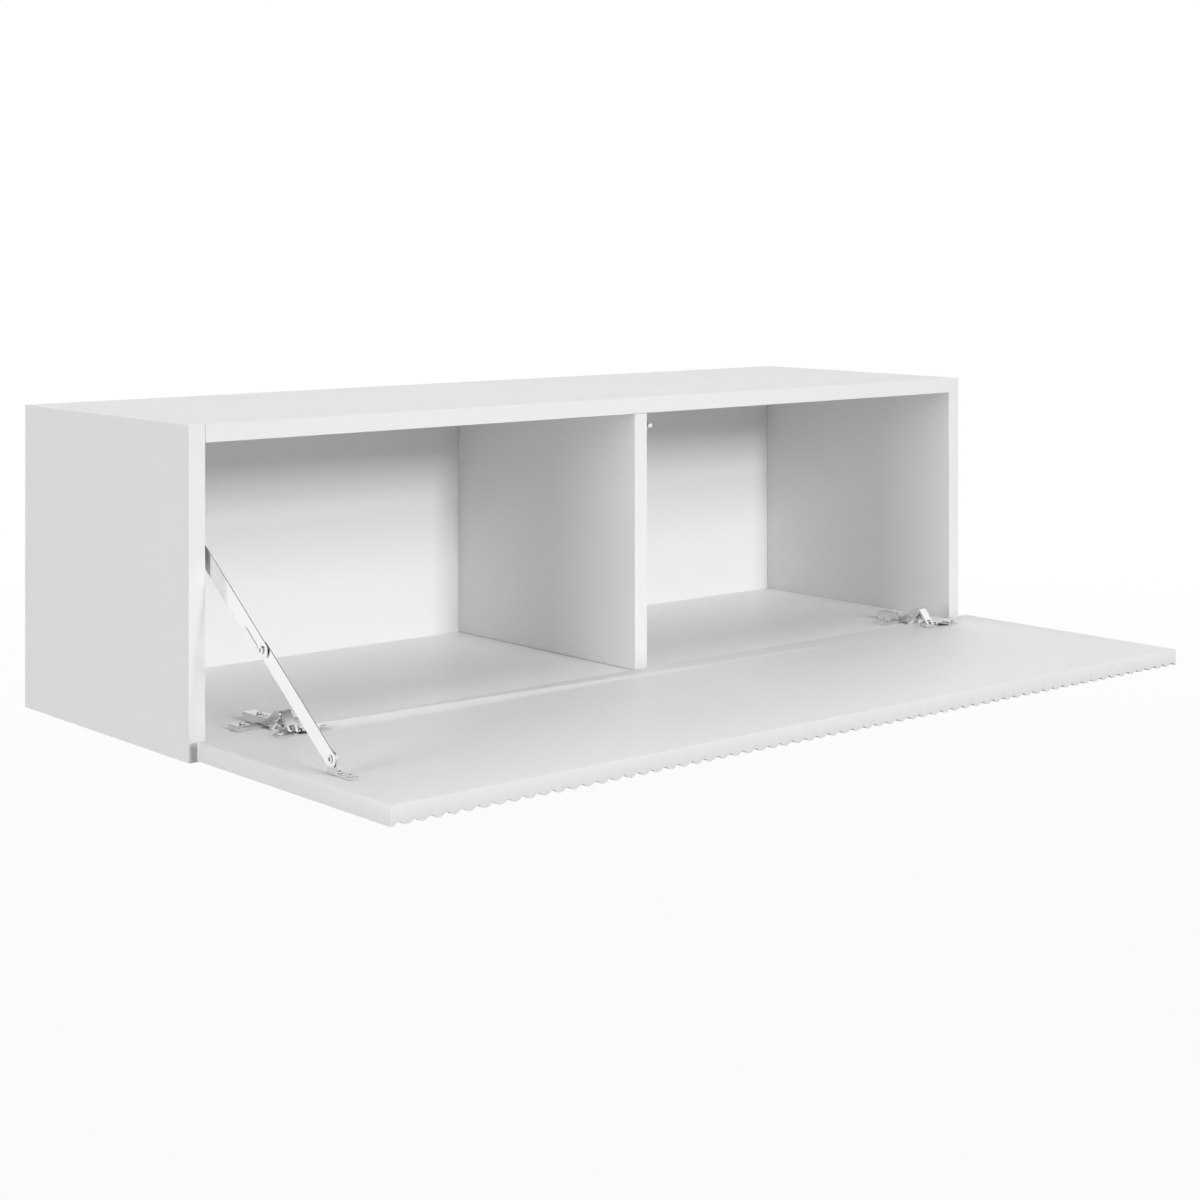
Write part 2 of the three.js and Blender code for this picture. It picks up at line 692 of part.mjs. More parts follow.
// Elbow rivet: a head outside the upper bar, and a collar that keeps the bars apart
function elbowRivetSolid() {
  const [near, far] = upperSpan;
  return rodX(rivetHead, [near - seam - rivetRise, near - seam], stayElbow.x, stayElbow.y)
    .add(rodX(rivetRadius, [near - seam - rivetRise, far + seam], stayElbow.x, stayElbow.y))
    .add(rodX(rivetHead, [far + seam, lowerSpan[0] - seam], stayElbow.x, stayElbow.y));
}

function upperRivetSolid() {
  const start = seam + stayBracketSheet + seam;
  return rodX(rivetRadius, [start, upperSpan[1] + seam], stayTop.x, stayTop.y)
    .add(rodX(rivetHead, [upperSpan[1] + seam, upperSpan[1] + seam + innerRivetRise], stayTop.x, stayTop.y));
}

function lowerRivetSolid(grow) {
  const head = [lowerSpan[0] - seam - innerRivetRise, lowerSpan[0] - seam];
  const body = rodX(rivetRadius + grow, [head[0], tabSpan[1] + grow], stayFoot.x, stayFoot.y);
  return grow ? body : body.add(rodX(rivetHead, head, stayFoot.x, stayFoot.y));
}

function staySideScrewSolid(rise, grow) {
  const face = seam + stayBracketSheet;
  return screwSolid(staySideScrew, grow, rodX, face, 1, stayTop.x, stayTop.y + rise);
}

function stayFlapScrewSolid(forward, grow) {
  const face = cupFaceZ + seam + stayBracketSheet;
  return screwSolid(stayFlapScrew, grow, rodZ, face, 1, tabSpan[0] + stayFlapScrewInset, stayFoot.x - forward);
}

function staySideBracketSolid() {
  const middle = stayTop.y + (stayBracketAbove - stayBracketBelow) / 2;
  const tall = stayBracketAbove + stayBracketBelow;
  const shape = roundedRectangle(stayTop.x, middle, stayBracketWidth, tall, stayBracketSheet);
  let body = plateX(shape, [seam, seam + stayBracketSheet], cornerSteps);
  for (const rise of staySideScrewRises) {
    body = body.subtract(staySideScrewSolid(rise, seam));
  }
  return body;
}

function stayFlapBracketSolid() {
  const foot = cupFaceZ + seam;
  const tab = new THREE.Shape();
  tab.moveTo(stayFoot.x - stayTabRadius, foot);
  tab.lineTo(stayFoot.x + stayTabRadius, foot);
  tab.absarc(stayFoot.x, stayFoot.y, stayTabRadius, 0, Math.PI);
  let body = plateX(tab, tabSpan).add(block(
    [tabSpan[0], tabSpan[0] + stayFootWidth],
    [stayFoot.x - stayFootFront, stayFoot.x + stayFootRear],
    [foot, foot + stayBracketSheet],
  )).subtract(lowerRivetSolid(pinClearance));
  for (const forward of stayFlapScrewForwards) {
    body = body.subtract(stayFlapScrewSolid(forward, seam));
  }
  return body;
}

function stay() {
  const group = new THREE.Group();
  group.position.set(stayX, frontY, floorZ);
  group.add(named("stay_side_bracket", staySideBracketSolid(), zinc));
  group.add(named("stay_upper_bar", upperBarSolid(), steel));
  group.add(named("stay_lower_bar", lowerBarSolid(), steel));
  group.add(named("stay_flap_bracket", stayFlapBracketSolid(), zinc));
  group.add(named("stay_upper_rivet", upperRivetSolid(), steel));
  group.add(named("stay_elbow_rivet", elbowRivetSolid(), steel));
  group.add(named("stay_lower_rivet", lowerRivetSolid(0), steel));
  staySideScrewRises.forEach((rise, i) => {
    group.add(named(`stay_side_screw_${i + 1}`, staySideScrewSolid(rise, 0), steel));
  });
  stayFlapScrewForwards.forEach((forward, i) => {
    group.add(named(`stay_flap_screw_${i + 1}`, stayFlapScrewSolid(forward, 0), steel));
  });
  return group;
}

// Push opener, about the divider's right face, the front plane and the middle of the plunger
const openerX = dividerX + board;
const openerZ = ceilingZ - openerDrop;
const openerAxisX = seam + openerWidth / 2;
const openerBoreEnd = openerFront + openerLength - openerWall;

function openerScrewSolid(grow) {
  const face = seam + openerFlange;
  const z = -(openerHeight + openerFlangeHeight) / 4;
  return screwSolid(openerScrew, grow, rodX, face, 1, openerScrewBack, z);
}

function openerHousingSolid() {
  const long = [openerFront, openerFront + openerLength];
  const bore = rodY(plungerRadius + plungerGap, [openerFront - overrun, openerBoreEnd], openerAxisX, 0, roundSteps);
  return block([seam, seam + openerWidth], long, [-openerHeight / 2, openerHeight / 2])
    .add(block([seam, seam + openerFlange], long, [-openerFlangeHeight / 2, openerFlangeHeight / 2]))
    .subtract(bore)
    .subtract(openerScrewSolid(seam))
    .subtract(rodX(openerScrew.head + seam, [seam + openerFlange, seam + openerWidth + overrun],
      openerScrewBack, -(openerHeight + openerFlangeHeight) / 4));
}

// Plunger: a cap with a rounded tip, the shaft that slides in the bore and a stem inside the spring
function plungerSolid() {
  const tip = -closedGap + plungerGap;
  const shoulder = openerFront + plungerShoulder;
  const capEnd = tip + plungerCapLength;
  const dome = solid(new THREE.SphereGeometry(plungerDome, roundSteps, smallSteps))
    .translate(openerAxisX, tip + plungerDome, 0)
    .add(rodY(plungerDome, [tip + plungerDome, capEnd + overrun], openerAxisX, 0, roundSteps));
  return rodY(plungerCapRadius, [tip, capEnd], openerAxisX, 0, roundSteps)
    .intersect(dome)
    .add(rodY(plungerRadius, [capEnd - seam, shoulder], openerAxisX, 0, roundSteps))
    .add(rodY(stemRadius, [shoulder - seam, shoulder + stemLength], openerAxisX, 0));
}

// The spring stands at its fully pressed length, behind the reach of the plunger's shoulder
class Coil extends THREE.Curve {
  getPoint(t) {
    const angle = t * springTurns * 2 * Math.PI;
    const start = openerFront + plungerShoulder + plungerTravel + seam + springWire;
    const end = openerBoreEnd - seam - springWire;
    const radius = plungerRadius - springWire;
    const x = openerAxisX + radius * Math.cos(angle);
    return new THREE.Vector3(x, start + (end - start) * t, radius * Math.sin(angle));
  }
}

function openerSpringSolid() {
  const wire = [];
  for (let i = 0; i < springWireSteps; i += 1) {
    const angle = 2 * Math.PI * i / springWireSteps;
    wire.push([springWire * Math.cos(angle), springWire * Math.sin(angle)]);
  }
  return solid(new THREE.ExtrudeGeometry(outline(wire), {
    steps: springTurns * springTurnSteps,
    extrudePath: new Coil(),
  }));
}

function opener() {
  const group = new THREE.Group();
  group.position.set(openerX, frontY, openerZ);
  group.add(named("push_opener_housing", openerHousingSolid(), plastic));
  group.add(named("push_opener_plunger", plungerSolid(), steel));
  group.add(named("push_opener_spring", openerSpringSolid(), steel));
  group.add(named("push_opener_screw", openerScrewSolid(0), steel));
  return group;
}

// Boards
function sidePanel(side) {
  const across = [side * width / 2, side * (width / 2 - board)].sort((a, b) => a - b);
  let body = block(across, [frontY, 0], [underZ, topZ]).subtract(backSolid(seam));
  for (const cam of camPlaces.filter((place) => place.side === side)) {
    body = body.subtract(camFitting(cam.side, cam.underFace, cam.y, seam));
  }
  body = body.subtract(hangerSolid(side, seam)).subtract(hangerScrewSolid(side, seam));
  if (side < 0) {
    for (const rise of staySideScrewRises) {
      body = body.subtract(staySideScrewSolid(rise, seam).translate(stayX, frontY, floorZ));
    }
  }
  return body;
}

function crossPanel(underFace) {
  const end = width / 2 - board - seam;
  let body = block([-end, end], [frontY, 0], [underFace, underFace + board]).subtract(backSolid(seam));
  for (const cam of camPlaces.filter((place) => place.underFace === underFace)) {
    body = body.subtract(camFitting(cam.side, cam.underFace, cam.y, seam));
  }
  for (const dowel of dowels) {
    body = body.subtract(dowelSolid(dowel, seam));
  }
  return body;
}

function topPanel() {
  return crossPanel(ceilingZ).subtract(hangerSolid(-1, seam)).subtract(hangerSolid(1, seam));
}

function floorPanel() {
  let body = crossPanel(underZ);
  for (const { x } of hinges) {
    for (const side of [-1, 1]) {
      body = body.subtract(plateScrewSolid(side, seam).translate(x, frontY, floorZ));
    }
  }
  return body;
}

function dividerPanel() {
  let body = block([dividerX, dividerX + board], [frontY, backFrontY - seam], [floorZ + seam, ceilingZ - seam]);
  for (const dowel of dowels) {
    body = body.subtract(dowelSolid(dowel, seam));
  }
  return body.subtract(openerScrewSolid(seam).translate(openerX, frontY, openerZ));
}

// Flap: a board whose outer face is a row of waves with flattened crests
function flapPanel() {
  const end = width / 2 - flapReveal;
  const crestZ = flapInnerZ - flapThickness;
  const count = fluteCount * fluteSteps;
  const points = [[end, flapInnerZ], [-end, flapInnerZ]];
  for (let i = 0; i <= count; i += 1) {
    const wave = (1 - Math.cos(2 * Math.PI * i / fluteSteps)) / 2;
    const lift = Math.max(0, wave - fluteCrestShare * wave * (1 - wave));
    points.push([-end + 2 * end * i / count, crestZ + fluteDepth * lift]);
  }
  let body = plateY(outline(points), flapEndY, flapLength);
  for (const { x } of hinges) {
    const y = frontY + cupCentreY;
    body = body.subtract(rodZ(boreRadius, [flapInnerZ - cupDepth - seam, flapInnerZ + overrun], x, y, cupSteps));
    for (const side of [-1, 1]) {
      body = body.subtract(cupScrewSolid(side, seam).translate(x, frontY, floorZ));
    }
  }
  for (const forward of stayFlapScrewForwards) {
    body = body.subtract(stayFlapScrewSolid(forward, seam).translate(stayX, frontY, floorZ));
  }
  return body;
}

// The whole console
const console_ = new THREE.Group();
console_.add(named("side_panel_left", sidePanel(-1), lacquer));
console_.add(named("side_panel_right", sidePanel(1), lacquer));
console_.add(named("top_panel", topPanel(), lacquer));
console_.add(named("floor_panel", floorPanel(), lacquer));
console_.add(named("divider_panel", dividerPanel(), lacquer));
console_.add(named("back_panel", backSolid(0), lacquer));
console_.add(named("flap_panel", flapPanel(), lacquer));
for (const { name, x } of hinges) {
  console_.add(hinge(name, x));
}
console_.add(stay());
console_.add(opener());
for (const [side, sideName] of [[-1, "left"], [1, "right"]]) {
  console_.add(named(`wall_hanger_${sideName}`, hangerPlate(side), zinc));
  console_.add(named(`wall_hanger_screw_${sideName}`, hangerScrewSolid(side, 0), steel));
}
for (const cam of camPlaces) {
  console_.add(named(cam.name, camFitting(cam.side, cam.underFace, cam.y, 0), zinc));
}
for (const dowel of dowels) {
  console_.add(named(dowel.name, dowelSolid(dowel, 0), beech));
}

export default console_;
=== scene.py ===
import math

import bpy
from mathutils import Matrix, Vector


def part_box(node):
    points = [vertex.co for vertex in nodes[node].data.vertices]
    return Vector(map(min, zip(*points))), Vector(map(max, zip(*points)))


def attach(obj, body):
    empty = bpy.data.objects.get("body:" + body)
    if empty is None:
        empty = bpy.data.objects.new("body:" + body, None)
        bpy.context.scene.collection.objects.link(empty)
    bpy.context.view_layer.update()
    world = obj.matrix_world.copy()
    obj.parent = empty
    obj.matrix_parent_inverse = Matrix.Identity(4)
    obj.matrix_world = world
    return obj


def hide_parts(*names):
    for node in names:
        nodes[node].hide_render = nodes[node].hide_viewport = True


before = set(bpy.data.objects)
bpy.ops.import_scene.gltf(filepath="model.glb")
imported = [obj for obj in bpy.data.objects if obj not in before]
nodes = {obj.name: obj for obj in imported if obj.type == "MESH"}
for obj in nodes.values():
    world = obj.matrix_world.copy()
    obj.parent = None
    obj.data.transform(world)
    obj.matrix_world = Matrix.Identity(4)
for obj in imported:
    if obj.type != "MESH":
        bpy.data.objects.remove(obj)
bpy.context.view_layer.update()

# Camera.
# The photograph is taken level from the left front, a little above the cabinet,
# with the picture plane shifted down.
camera = bpy.data.cameras.new("camera")
camera.sensor_width = 36
camera.lens = 67.788
camera.shift_y = -0.30244
camera.clip_start = 0.01
camera.clip_end = 60
eye = bpy.data.objects.new("camera", camera)
eye.location = (-1.486766, -2.000112, 0.168489)
eye.rotation_euler = (math.radians(90), 0, math.radians(-40.534))
bpy.context.scene.collection.objects.link(eye)
bpy.context.scene.camera = eye
bpy.context.scene.view_settings.view_transform = "Standard"

# Studio.
# A white cove with a pale floor a good metre below the hanging cabinet. Two large soft lamps stand
# far in front, and weaker ones at the left, above, at the right and behind. Only polished metal
# reflects the cove's horizon, which is a little dimmer, and its dark ceiling.
world = bpy.data.worlds.new("studio")
bpy.context.scene.world = world
world.use_nodes = True
tree = world.node_tree
fill = tree.nodes["Background"]
fill.inputs["Color"].default_value = (1, 1, 1, 1)
fill.inputs["Strength"].default_value = 0.1
white = tree.nodes.new("ShaderNodeBackground")
white.inputs["Color"].default_value = (1, 1, 1, 1)
white.inputs["Strength"].default_value = 1
cove = tree.nodes.new("ShaderNodeBackground")
cove.inputs["Strength"].default_value = 1.15
where = tree.nodes.new("ShaderNodeTexCoord")
split = tree.nodes.new("ShaderNodeSeparateXYZ")
bands = tree.nodes.new("ShaderNodeValToRGB")
horizon, ceiling = bands.color_ramp.elements
horizon.position = 0.05
horizon.color = (0.85, 0.85, 0.85, 1)
ceiling.position = 0.84
ceiling.color = (0.12, 0.12, 0.12, 1)
for height in (0.2, 0.66):
    wall = bands.color_ramp.elements.new(height)
    wall.color = (1, 1, 1, 1)
tree.links.new(where.outputs["Generated"], split.inputs["Vector"])
tree.links.new(split.outputs["Z"], bands.inputs["Fac"])
tree.links.new(bands.outputs["Color"], cove.inputs["Color"])
path = tree.nodes.new("ShaderNodeLightPath")
polished = tree.nodes.new("ShaderNodeMixShader")
seen = tree.nodes.new("ShaderNodeMixShader")
tree.links.new(path.outputs["Is Glossy Ray"], polished.inputs[0])
tree.links.new(fill.outputs[0], polished.inputs[1])
tree.links.new(cove.outputs[0], polished.inputs[2])
clear = tree.nodes.new("ShaderNodeMath")
clear.operation = "MAXIMUM"
tree.links.new(path.outputs["Is Camera Ray"], clear.inputs[0])
tree.links.new(path.outputs["Is Transmission Ray"], clear.inputs[1])
tree.links.new(clear.outputs[0], seen.inputs[0])
tree.links.new(polished.outputs[0], seen.inputs[1])
tree.links.new(white.outputs[0], seen.inputs[2])
tree.links.new(seen.outputs[0], tree.nodes["World Output"].inputs["Surface"])


def lamp(name, place, aim, size, power):
    """A soft square lamp that isn't seen itself."""
    light = bpy.data.lights.new(name, "AREA")
    light.shape = "SQUARE"
    light.size = size
    light.energy = power
    holder = bpy.data.objects.new(name, light)
    holder.location = place
    holder.rotation_euler = (Vector(aim) - Vector(place)).to_track_quat("-Z", "Y").to_euler()
    holder.visible_camera = False
    holder.visible_glossy = False
    bpy.context.scene.collection.objects.link(holder)


cabinet_middle = (0, -0.3, -0.14)
lamp("front_lamp", (0.4, -11.8, 3.2), cabinet_middle, 2.1, 635)
lamp("high_front_lamp", (-1.1, -10.8, 5.5), cabinet_middle, 2.1, 320)
lamp("left_lamp", (-4.2, -0.6, 0.4), cabinet_middle, 1.4, 82)
lamp("top_lamp", (0, -0.6, 3.6), (0, -0.3, 0), 2.0, 46)
lamp("right_lamp", (4.2, -0.6, 0.4), cabinet_middle, 1.4, 20)
lamp("rear_lamp", (0, 4, 0.8), (0, 0, -0.14), 1.4, 60)

bpy.ops.mesh.primitive_plane_add(size=24, location=(0, 0, -1.15))
floor = bpy.context.object
floor.name = "studio_floor"
bpy.ops.object.mode_set(mode="EDIT")
bpy.ops.mesh.subdivide(number_cuts=3)
bpy.ops.object.mode_set(mode="OBJECT")
pale = bpy.data.materials.new("pale_floor")
pale.use_nodes = True
tree = pale.node_tree
shader = tree.nodes["Principled BSDF"]
shader.inputs["Base Color"].default_value = (0.3, 0.3, 0.3, 1)
shader.inputs["Roughness"].default_value = 0.9
glow = tree.nodes.new("ShaderNodeEmission")
glow.inputs["Color"].default_value = (1, 1, 1, 1)
path = tree.nodes.new("ShaderNodeLightPath")
lift = tree.nodes.new("ShaderNodeMath")
lift.operation = "MULTIPLY_ADD"
lift.inputs[1].default_value = 0.15
lift.inputs[2].default_value = 1
tree.links.new(path.outputs["Is Glossy Ray"], lift.inputs[0])
tree.links.new(lift.outputs[0], glow.inputs["Strength"])
mirrored = tree.nodes.new("ShaderNodeMath")
mirrored.operation = "MAXIMUM"
through = tree.nodes.new("ShaderNodeMath")
through.operation = "MAXIMUM"
reach = tree.nodes.new("ShaderNodeVectorMath")
reach.operation = "LENGTH"
fade = tree.nodes.new("ShaderNodeMapRange")
fade.interpolation_type = "SMOOTHSTEP"
fade.inputs["From Min"].default_value = 1.5
fade.inputs["From Max"].default_value = 8
fade.inputs["To Min"].default_value = 0.95
fade.inputs["To Max"].default_value = 1
place = tree.nodes.new("ShaderNodeTexCoord")
share = tree.nodes.new("ShaderNodeMath")
share.operation = "MULTIPLY"
mix = tree.nodes.new("ShaderNodeMixShader")
tree.links.new(path.outputs["Is Camera Ray"], mirrored.inputs[0])
tree.links.new(path.outputs["Is Glossy Ray"], mirrored.inputs[1])
tree.links.new(mirrored.outputs[0], through.inputs[0])
tree.links.new(path.outputs["Is Transmission Ray"], through.inputs[1])
tree.links.new(through.outputs[0], share.inputs[0])
tree.links.new(place.outputs["Object"], reach.inputs[0])
tree.links.new(reach.outputs["Value"], fade.inputs["Value"])
tree.links.new(fade.outputs["Result"], share.inputs[1])
tree.links.new(share.outputs[0], mix.inputs[0])
tree.links.new(shader.outputs[0], mix.inputs[1])
tree.links.new(glow.outputs[0], mix.inputs[2])
tree.links.new(mix.outputs[0], tree.nodes["Material Output"].inputs["Surface"])
floor.data.materials.append(pale)

# Carcass boards.
# Two sides, a top, a floor and an upright divider of 16 mm board, and a thin back in a groove,
# all in satin white lacquer with slightly eased edges.
def new_material(name, colour, roughness, metallic=0.0):
    """A plain finish, which the next four functions make less even."""
    material = bpy.data.materials.new(name)
    material.use_nodes = True
    shader = material.node_tree.nodes["Principled BSDF"]
    shader.inputs["Base Color"].default_value = (*colour, 1)
    shader.inputs["Roughness"].default_value = roughness
    shader.inputs["Metallic"].default_value = metallic
    return material


def noise(material, scale, detail=2.0, stretch=(1, 1, 1)):
    """Cloudy noise fixed to the piece, for the functions below."""
    tree = material.node_tree
    where = tree.nodes.new("ShaderNodeTexCoord")
    mapping = tree.nodes.new("ShaderNodeMapping")
    mapping.inputs["Scale"].default_value = stretch
    texture = tree.nodes.new("ShaderNodeTexNoise")
    texture.inputs["Scale"].default_value = scale
    texture.inputs["Detail"].default_value = detail
    tree.links.new(where.outputs["Object"], mapping.inputs["Vector"])
    tree.links.new(mapping.outputs["Vector"], texture.inputs["Vector"])
    return texture.outputs["Fac"]


noise_low = 0.3
noise_high = 0.7


def vary_colour(material, source, low, high):
    tree = material.node_tree
    ramp = tree.nodes.new("ShaderNodeValToRGB")
    ramp.color_ramp.elements[0].position = noise_low
    ramp.color_ramp.elements[1].position = noise_high
    ramp.color_ramp.elements[0].color = (*low, 1)
    ramp.color_ramp.elements[1].color = (*high, 1)
    tree.links.new(source, ramp.inputs["Fac"])
    tree.links.new(ramp.outputs["Color"], tree.nodes["Principled BSDF"].inputs["Base Color"])


def vary_roughness(material, source, low, high):
    tree = material.node_tree
    span = tree.nodes.new("ShaderNodeMapRange")
    span.inputs["From Min"].default_value = noise_low
    span.inputs["From Max"].default_value = noise_high
    span.inputs["To Min"].default_value = low
    span.inputs["To Max"].default_value = high
    tree.links.new(source, span.inputs["Value"])
    tree.links.new(span.outputs["Result"], tree.nodes["Principled BSDF"].inputs["Roughness"])


def raise_bump(material, source, strength, distance):
    tree = material.node_tree
    bump = tree.nodes.new("ShaderNodeBump")
    bump.inputs["Strength"].default_value = strength
    bump.inputs["Distance"].default_value = distance
    tree.links.new(source, bump.inputs["Height"])
    tree.links.new(bump.outputs["Normal"], tree.nodes["Principled BSDF"].inputs["Normal"])


lacquer = new_material("satin_white_lacquer", (0.88, 0.88, 0.878), 0.4)
vary_colour(lacquer, noise(lacquer, 2.5), (0.874, 0.873, 0.87), (0.886, 0.886, 0.884))
vary_roughness(lacquer, noise(lacquer, 30), 0.38, 0.46)
raise_bump(lacquer, noise(lacquer, 420, 3), 0.06, 0.0004)


hair = 0.00001


def only(piece):
    """Selects that piece alone."""
    bpy.ops.object.select_all(action="DESELECT")
    piece.hide_set(False)
    piece.select_set(True)
    bpy.context.view_layer.objects.active = piece


def redraw(node, name):
    """A copy of a solid, its facets merged into whole faces."""
    piece = bpy.data.objects.new(name, nodes[node].data.copy())
    piece.data.materials.clear()
    bpy.context.scene.collection.objects.link(piece)
    only(piece)
    bpy.ops.object.mode_set(mode="EDIT")
    bpy.ops.mesh.select_all(action="SELECT")
    bpy.ops.mesh.remove_doubles(threshold=hair)
    bpy.ops.mesh.dissolve_limited(angle_limit=math.radians(1))
    bpy.ops.object.mode_set(mode="OBJECT")
    return piece


def ease(piece, width, segments=2, angle=32):
    """Rounds every edge sharper than the angle."""
    only(piece)
    bevel = piece.modifiers.new("eased_edges", "BEVEL")
    bevel.width = width
    bevel.segments = segments
    bevel.limit_method = "ANGLE"
    bevel.angle_limit = math.radians(angle)
    bpy.ops.object.modifier_apply(modifier=bevel.name)


def fit(piece, material, body, slot, *stands_for):
    """Finish and the body that a piece moves with; the slot argument is not used."""
    piece.data.materials.clear()
    piece.data.materials.append(material)
    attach(piece, body)
    if stands_for:
        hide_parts(*stands_for)


panels = ["side_panel_left", "side_panel_right", "top_panel", "floor_panel", "divider_panel", "back_panel"]
for node in panels:
    board = redraw(node, node.replace("panel", "board"))
    ease(board, 0.0006)
    fit(board, lacquer, "cabinet", "white_lacquer", node)

# Flap.
# One board, flat inside and milled outside into rounded waves that run up the closed front,
# lacquered like the carcass.
flap_low, flap_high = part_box("flap_panel")
flute_count = 66
flute_depth = 0.003
flute_steps = 20
flute_pitch = (flap_high.x - flap_low.x) / flute_count
crest_share = 0.35
middle_y = (flap_low.y + flap_high.y) / 2
bpy.ops.object.select_all(action="DESELECT")
bpy.ops.mesh.primitive_grid_add(x_subdivisions=flute_steps, y_subdivisions=1, size=1,
                                location=(flap_low.x + flute_pitch / 2, middle_y, flap_low.z))
flap = bpy.context.object
flap.name = "flap_board"
flap.scale = (flute_pitch, flap_high.y - flap_low.y, 1)
bpy.ops.object.transform_apply(location=True, rotation=True, scale=True)
bpy.ops.object.mode_set(mode="EDIT")
for step in range(flute_steps + 1):
    bpy.ops.mesh.select_all(action="DESELECT")
    bpy.ops.object.mode_set(mode="OBJECT")
    column = flap_low.x + flute_pitch * step / flute_steps
    for vertex in flap.data.vertices:
        vertex.select = abs(vertex.co.x - column) < flute_pitch / flute_steps / 4
    bpy.ops.object.mode_set(mode="EDIT")
    wave = (1 - math.cos(2 * math.pi * step / flute_steps)) / 2
    bpy.ops.transform.translate(value=(0, 0, flute_depth * wave * (1 - crest_share + crest_share * wave)))
bpy.ops.object.mode_set(mode="OBJECT")
row = flap.modifiers.new("row_of_flutes", "ARRAY")
row.count = flute_count
row.use_merge_vertices = True
row.merge_threshold = 0.00002
bpy.ops.object.modifier_apply(modifier=row.name)
bpy.ops.object.mode_set(mode="EDIT")
bpy.ops.mesh.select_all(action="SELECT")
bpy.ops.mesh.region_to_loop()
bpy.ops.mesh.extrude_edges_move(TRANSFORM_OT_translate={"value": (0, 0, 0.01)})
bpy.ops.transform.resize(value=(1, 1, 0), center_override=(0, 0, flap_high.z))
bpy.ops.mesh.edge_face_add()
bpy.ops.mesh.select_all(action="SELECT")
bpy.ops.mesh.normals_make_consistent(inside=False)
bpy.ops.object.mode_set(mode="OBJECT")


def cut(piece, tool, operation="DIFFERENCE"):
    """Takes the tool out of the piece, or joins it on, and puts the tool away."""
    only(piece)
    change = piece.modifiers.new("cut", "BOOLEAN")
    change.operation = operation
    change.solver = "EXACT"
    change.object = tool
    bpy.ops.object.modifier_apply(modifier=change.name)
    bpy.data.objects.remove(tool)


cup_radius = 0.0172
cup_bore_radius = 0.0175
cup_bore_depth = 0.0121
for side in ("left", "right"):
    low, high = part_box(f"hinge_{side}_cup")
    bpy.ops.object.select_all(action="DESELECT")
    bpy.ops.mesh.primitive_cylinder_add(vertices=72, radius=cup_bore_radius, depth=2 * cup_bore_depth,
                                        location=((low.x + high.x) / 2, low.y + cup_radius, flap_high.z))
    cut(flap, bpy.context.object)
ease(flap, 0.0004)
only(flap)
bpy.ops.object.shade_smooth_by_angle(angle=math.radians(28))
fit(flap, lacquer, "flap", "white_lacquer", "flap_panel")

# Hinge mounting plates.
# Cast in zinc and nickel plated: a strap across the cabinet's floor with a raised pad for a screw
# at each end, and a rail in the middle that the arm is clipped over.
def block(name, low, high):
    """A block between two opposite corners."""
    bpy.ops.object.select_all(action="DESELECT")
    bpy.ops.mesh.primitive_cube_add(size=1, location=[(a + b) / 2 for a, b in zip(low, high)])
    piece = bpy.context.object
    piece.name = name
    piece.scale = [abs(b - a) for a, b in zip(low, high)]
    bpy.ops.object.transform_apply(location=True, rotation=True, scale=True)
    return piece


def rod(name, radius, start, end, sides=40):
    """A round rod between two points."""
    bpy.ops.object.select_all(action="DESELECT")
    start, end = Vector(start), Vector(end)
    bpy.ops.mesh.primitive_cylinder_add(vertices=sides, radius=radius, depth=(end - start).length,
                                        location=(start + end) / 2)
    piece = bpy.context.object
    piece.name = name
    piece.rotation_euler = (end - start).to_track_quat("Z", "Y").to_euler()
    bpy.ops.object.transform_apply(location=True, rotation=True, scale=True)
    return piece


def round_off(piece, radius, segments, chosen):
    """Bevels the edges whose two ends pass the test."""
    only(piece)
    bpy.ops.object.mode_set(mode="EDIT")
    bpy.ops.mesh.select_mode(type="EDGE")
    bpy.ops.mesh.select_all(action="DESELECT")
    bpy.ops.object.mode_set(mode="OBJECT")
    for edge in piece.data.edges:
        start, end = (piece.data.vertices[corner].co for corner in edge.vertices)
        edge.select = chosen(start, end)
    bpy.ops.object.mode_set(mode="EDIT")
    bpy.ops.mesh.bevel(offset=radius, segments=segments, affect="EDGES")
    bpy.ops.mesh.select_mode(type="VERT")
    bpy.ops.object.mode_set(mode="OBJECT")


def nudge(piece, shift, chosen):
    """Moves the corners that pass the test."""
    only(piece)
    bpy.ops.object.mode_set(mode="EDIT")
    bpy.ops.mesh.select_all(action="DESELECT")
    bpy.ops.object.mode_set(mode="OBJECT")
    for vertex in piece.data.vertices:
        vertex.select = chosen(vertex.co)
    bpy.ops.object.mode_set(mode="EDIT")
    bpy.ops.transform.translate(value=shift)
    bpy.ops.object.mode_set(mode="OBJECT")


def close(here, there):
    return abs(here - there) < hair


def upright(start, end):
    return close(start.x, end.x) and close(start.y, end.y)


def polish(piece, width, segments=2, sharp=40):
    """Eased edges, round faces shaded round and flat ones flat."""
    only(piece)
    bpy.ops.object.mode_set(mode="EDIT")
    bpy.ops.mesh.select_all(action="SELECT")
    bpy.ops.mesh.remove_doubles(threshold=hair)
    bpy.ops.mesh.dissolve_limited(angle_limit=math.radians(0.5))
    bpy.ops.object.mode_set(mode="OBJECT")
    ease(piece, width, segments, sharp)
    bpy.ops.object.shade_smooth_by_angle(angle=math.radians(sharp))
    even = piece.modifiers.new("even_shading", "WEIGHTED_NORMAL")
    even.keep_sharp = True
    bpy.ops.object.modifier_apply(modifier=even.name)


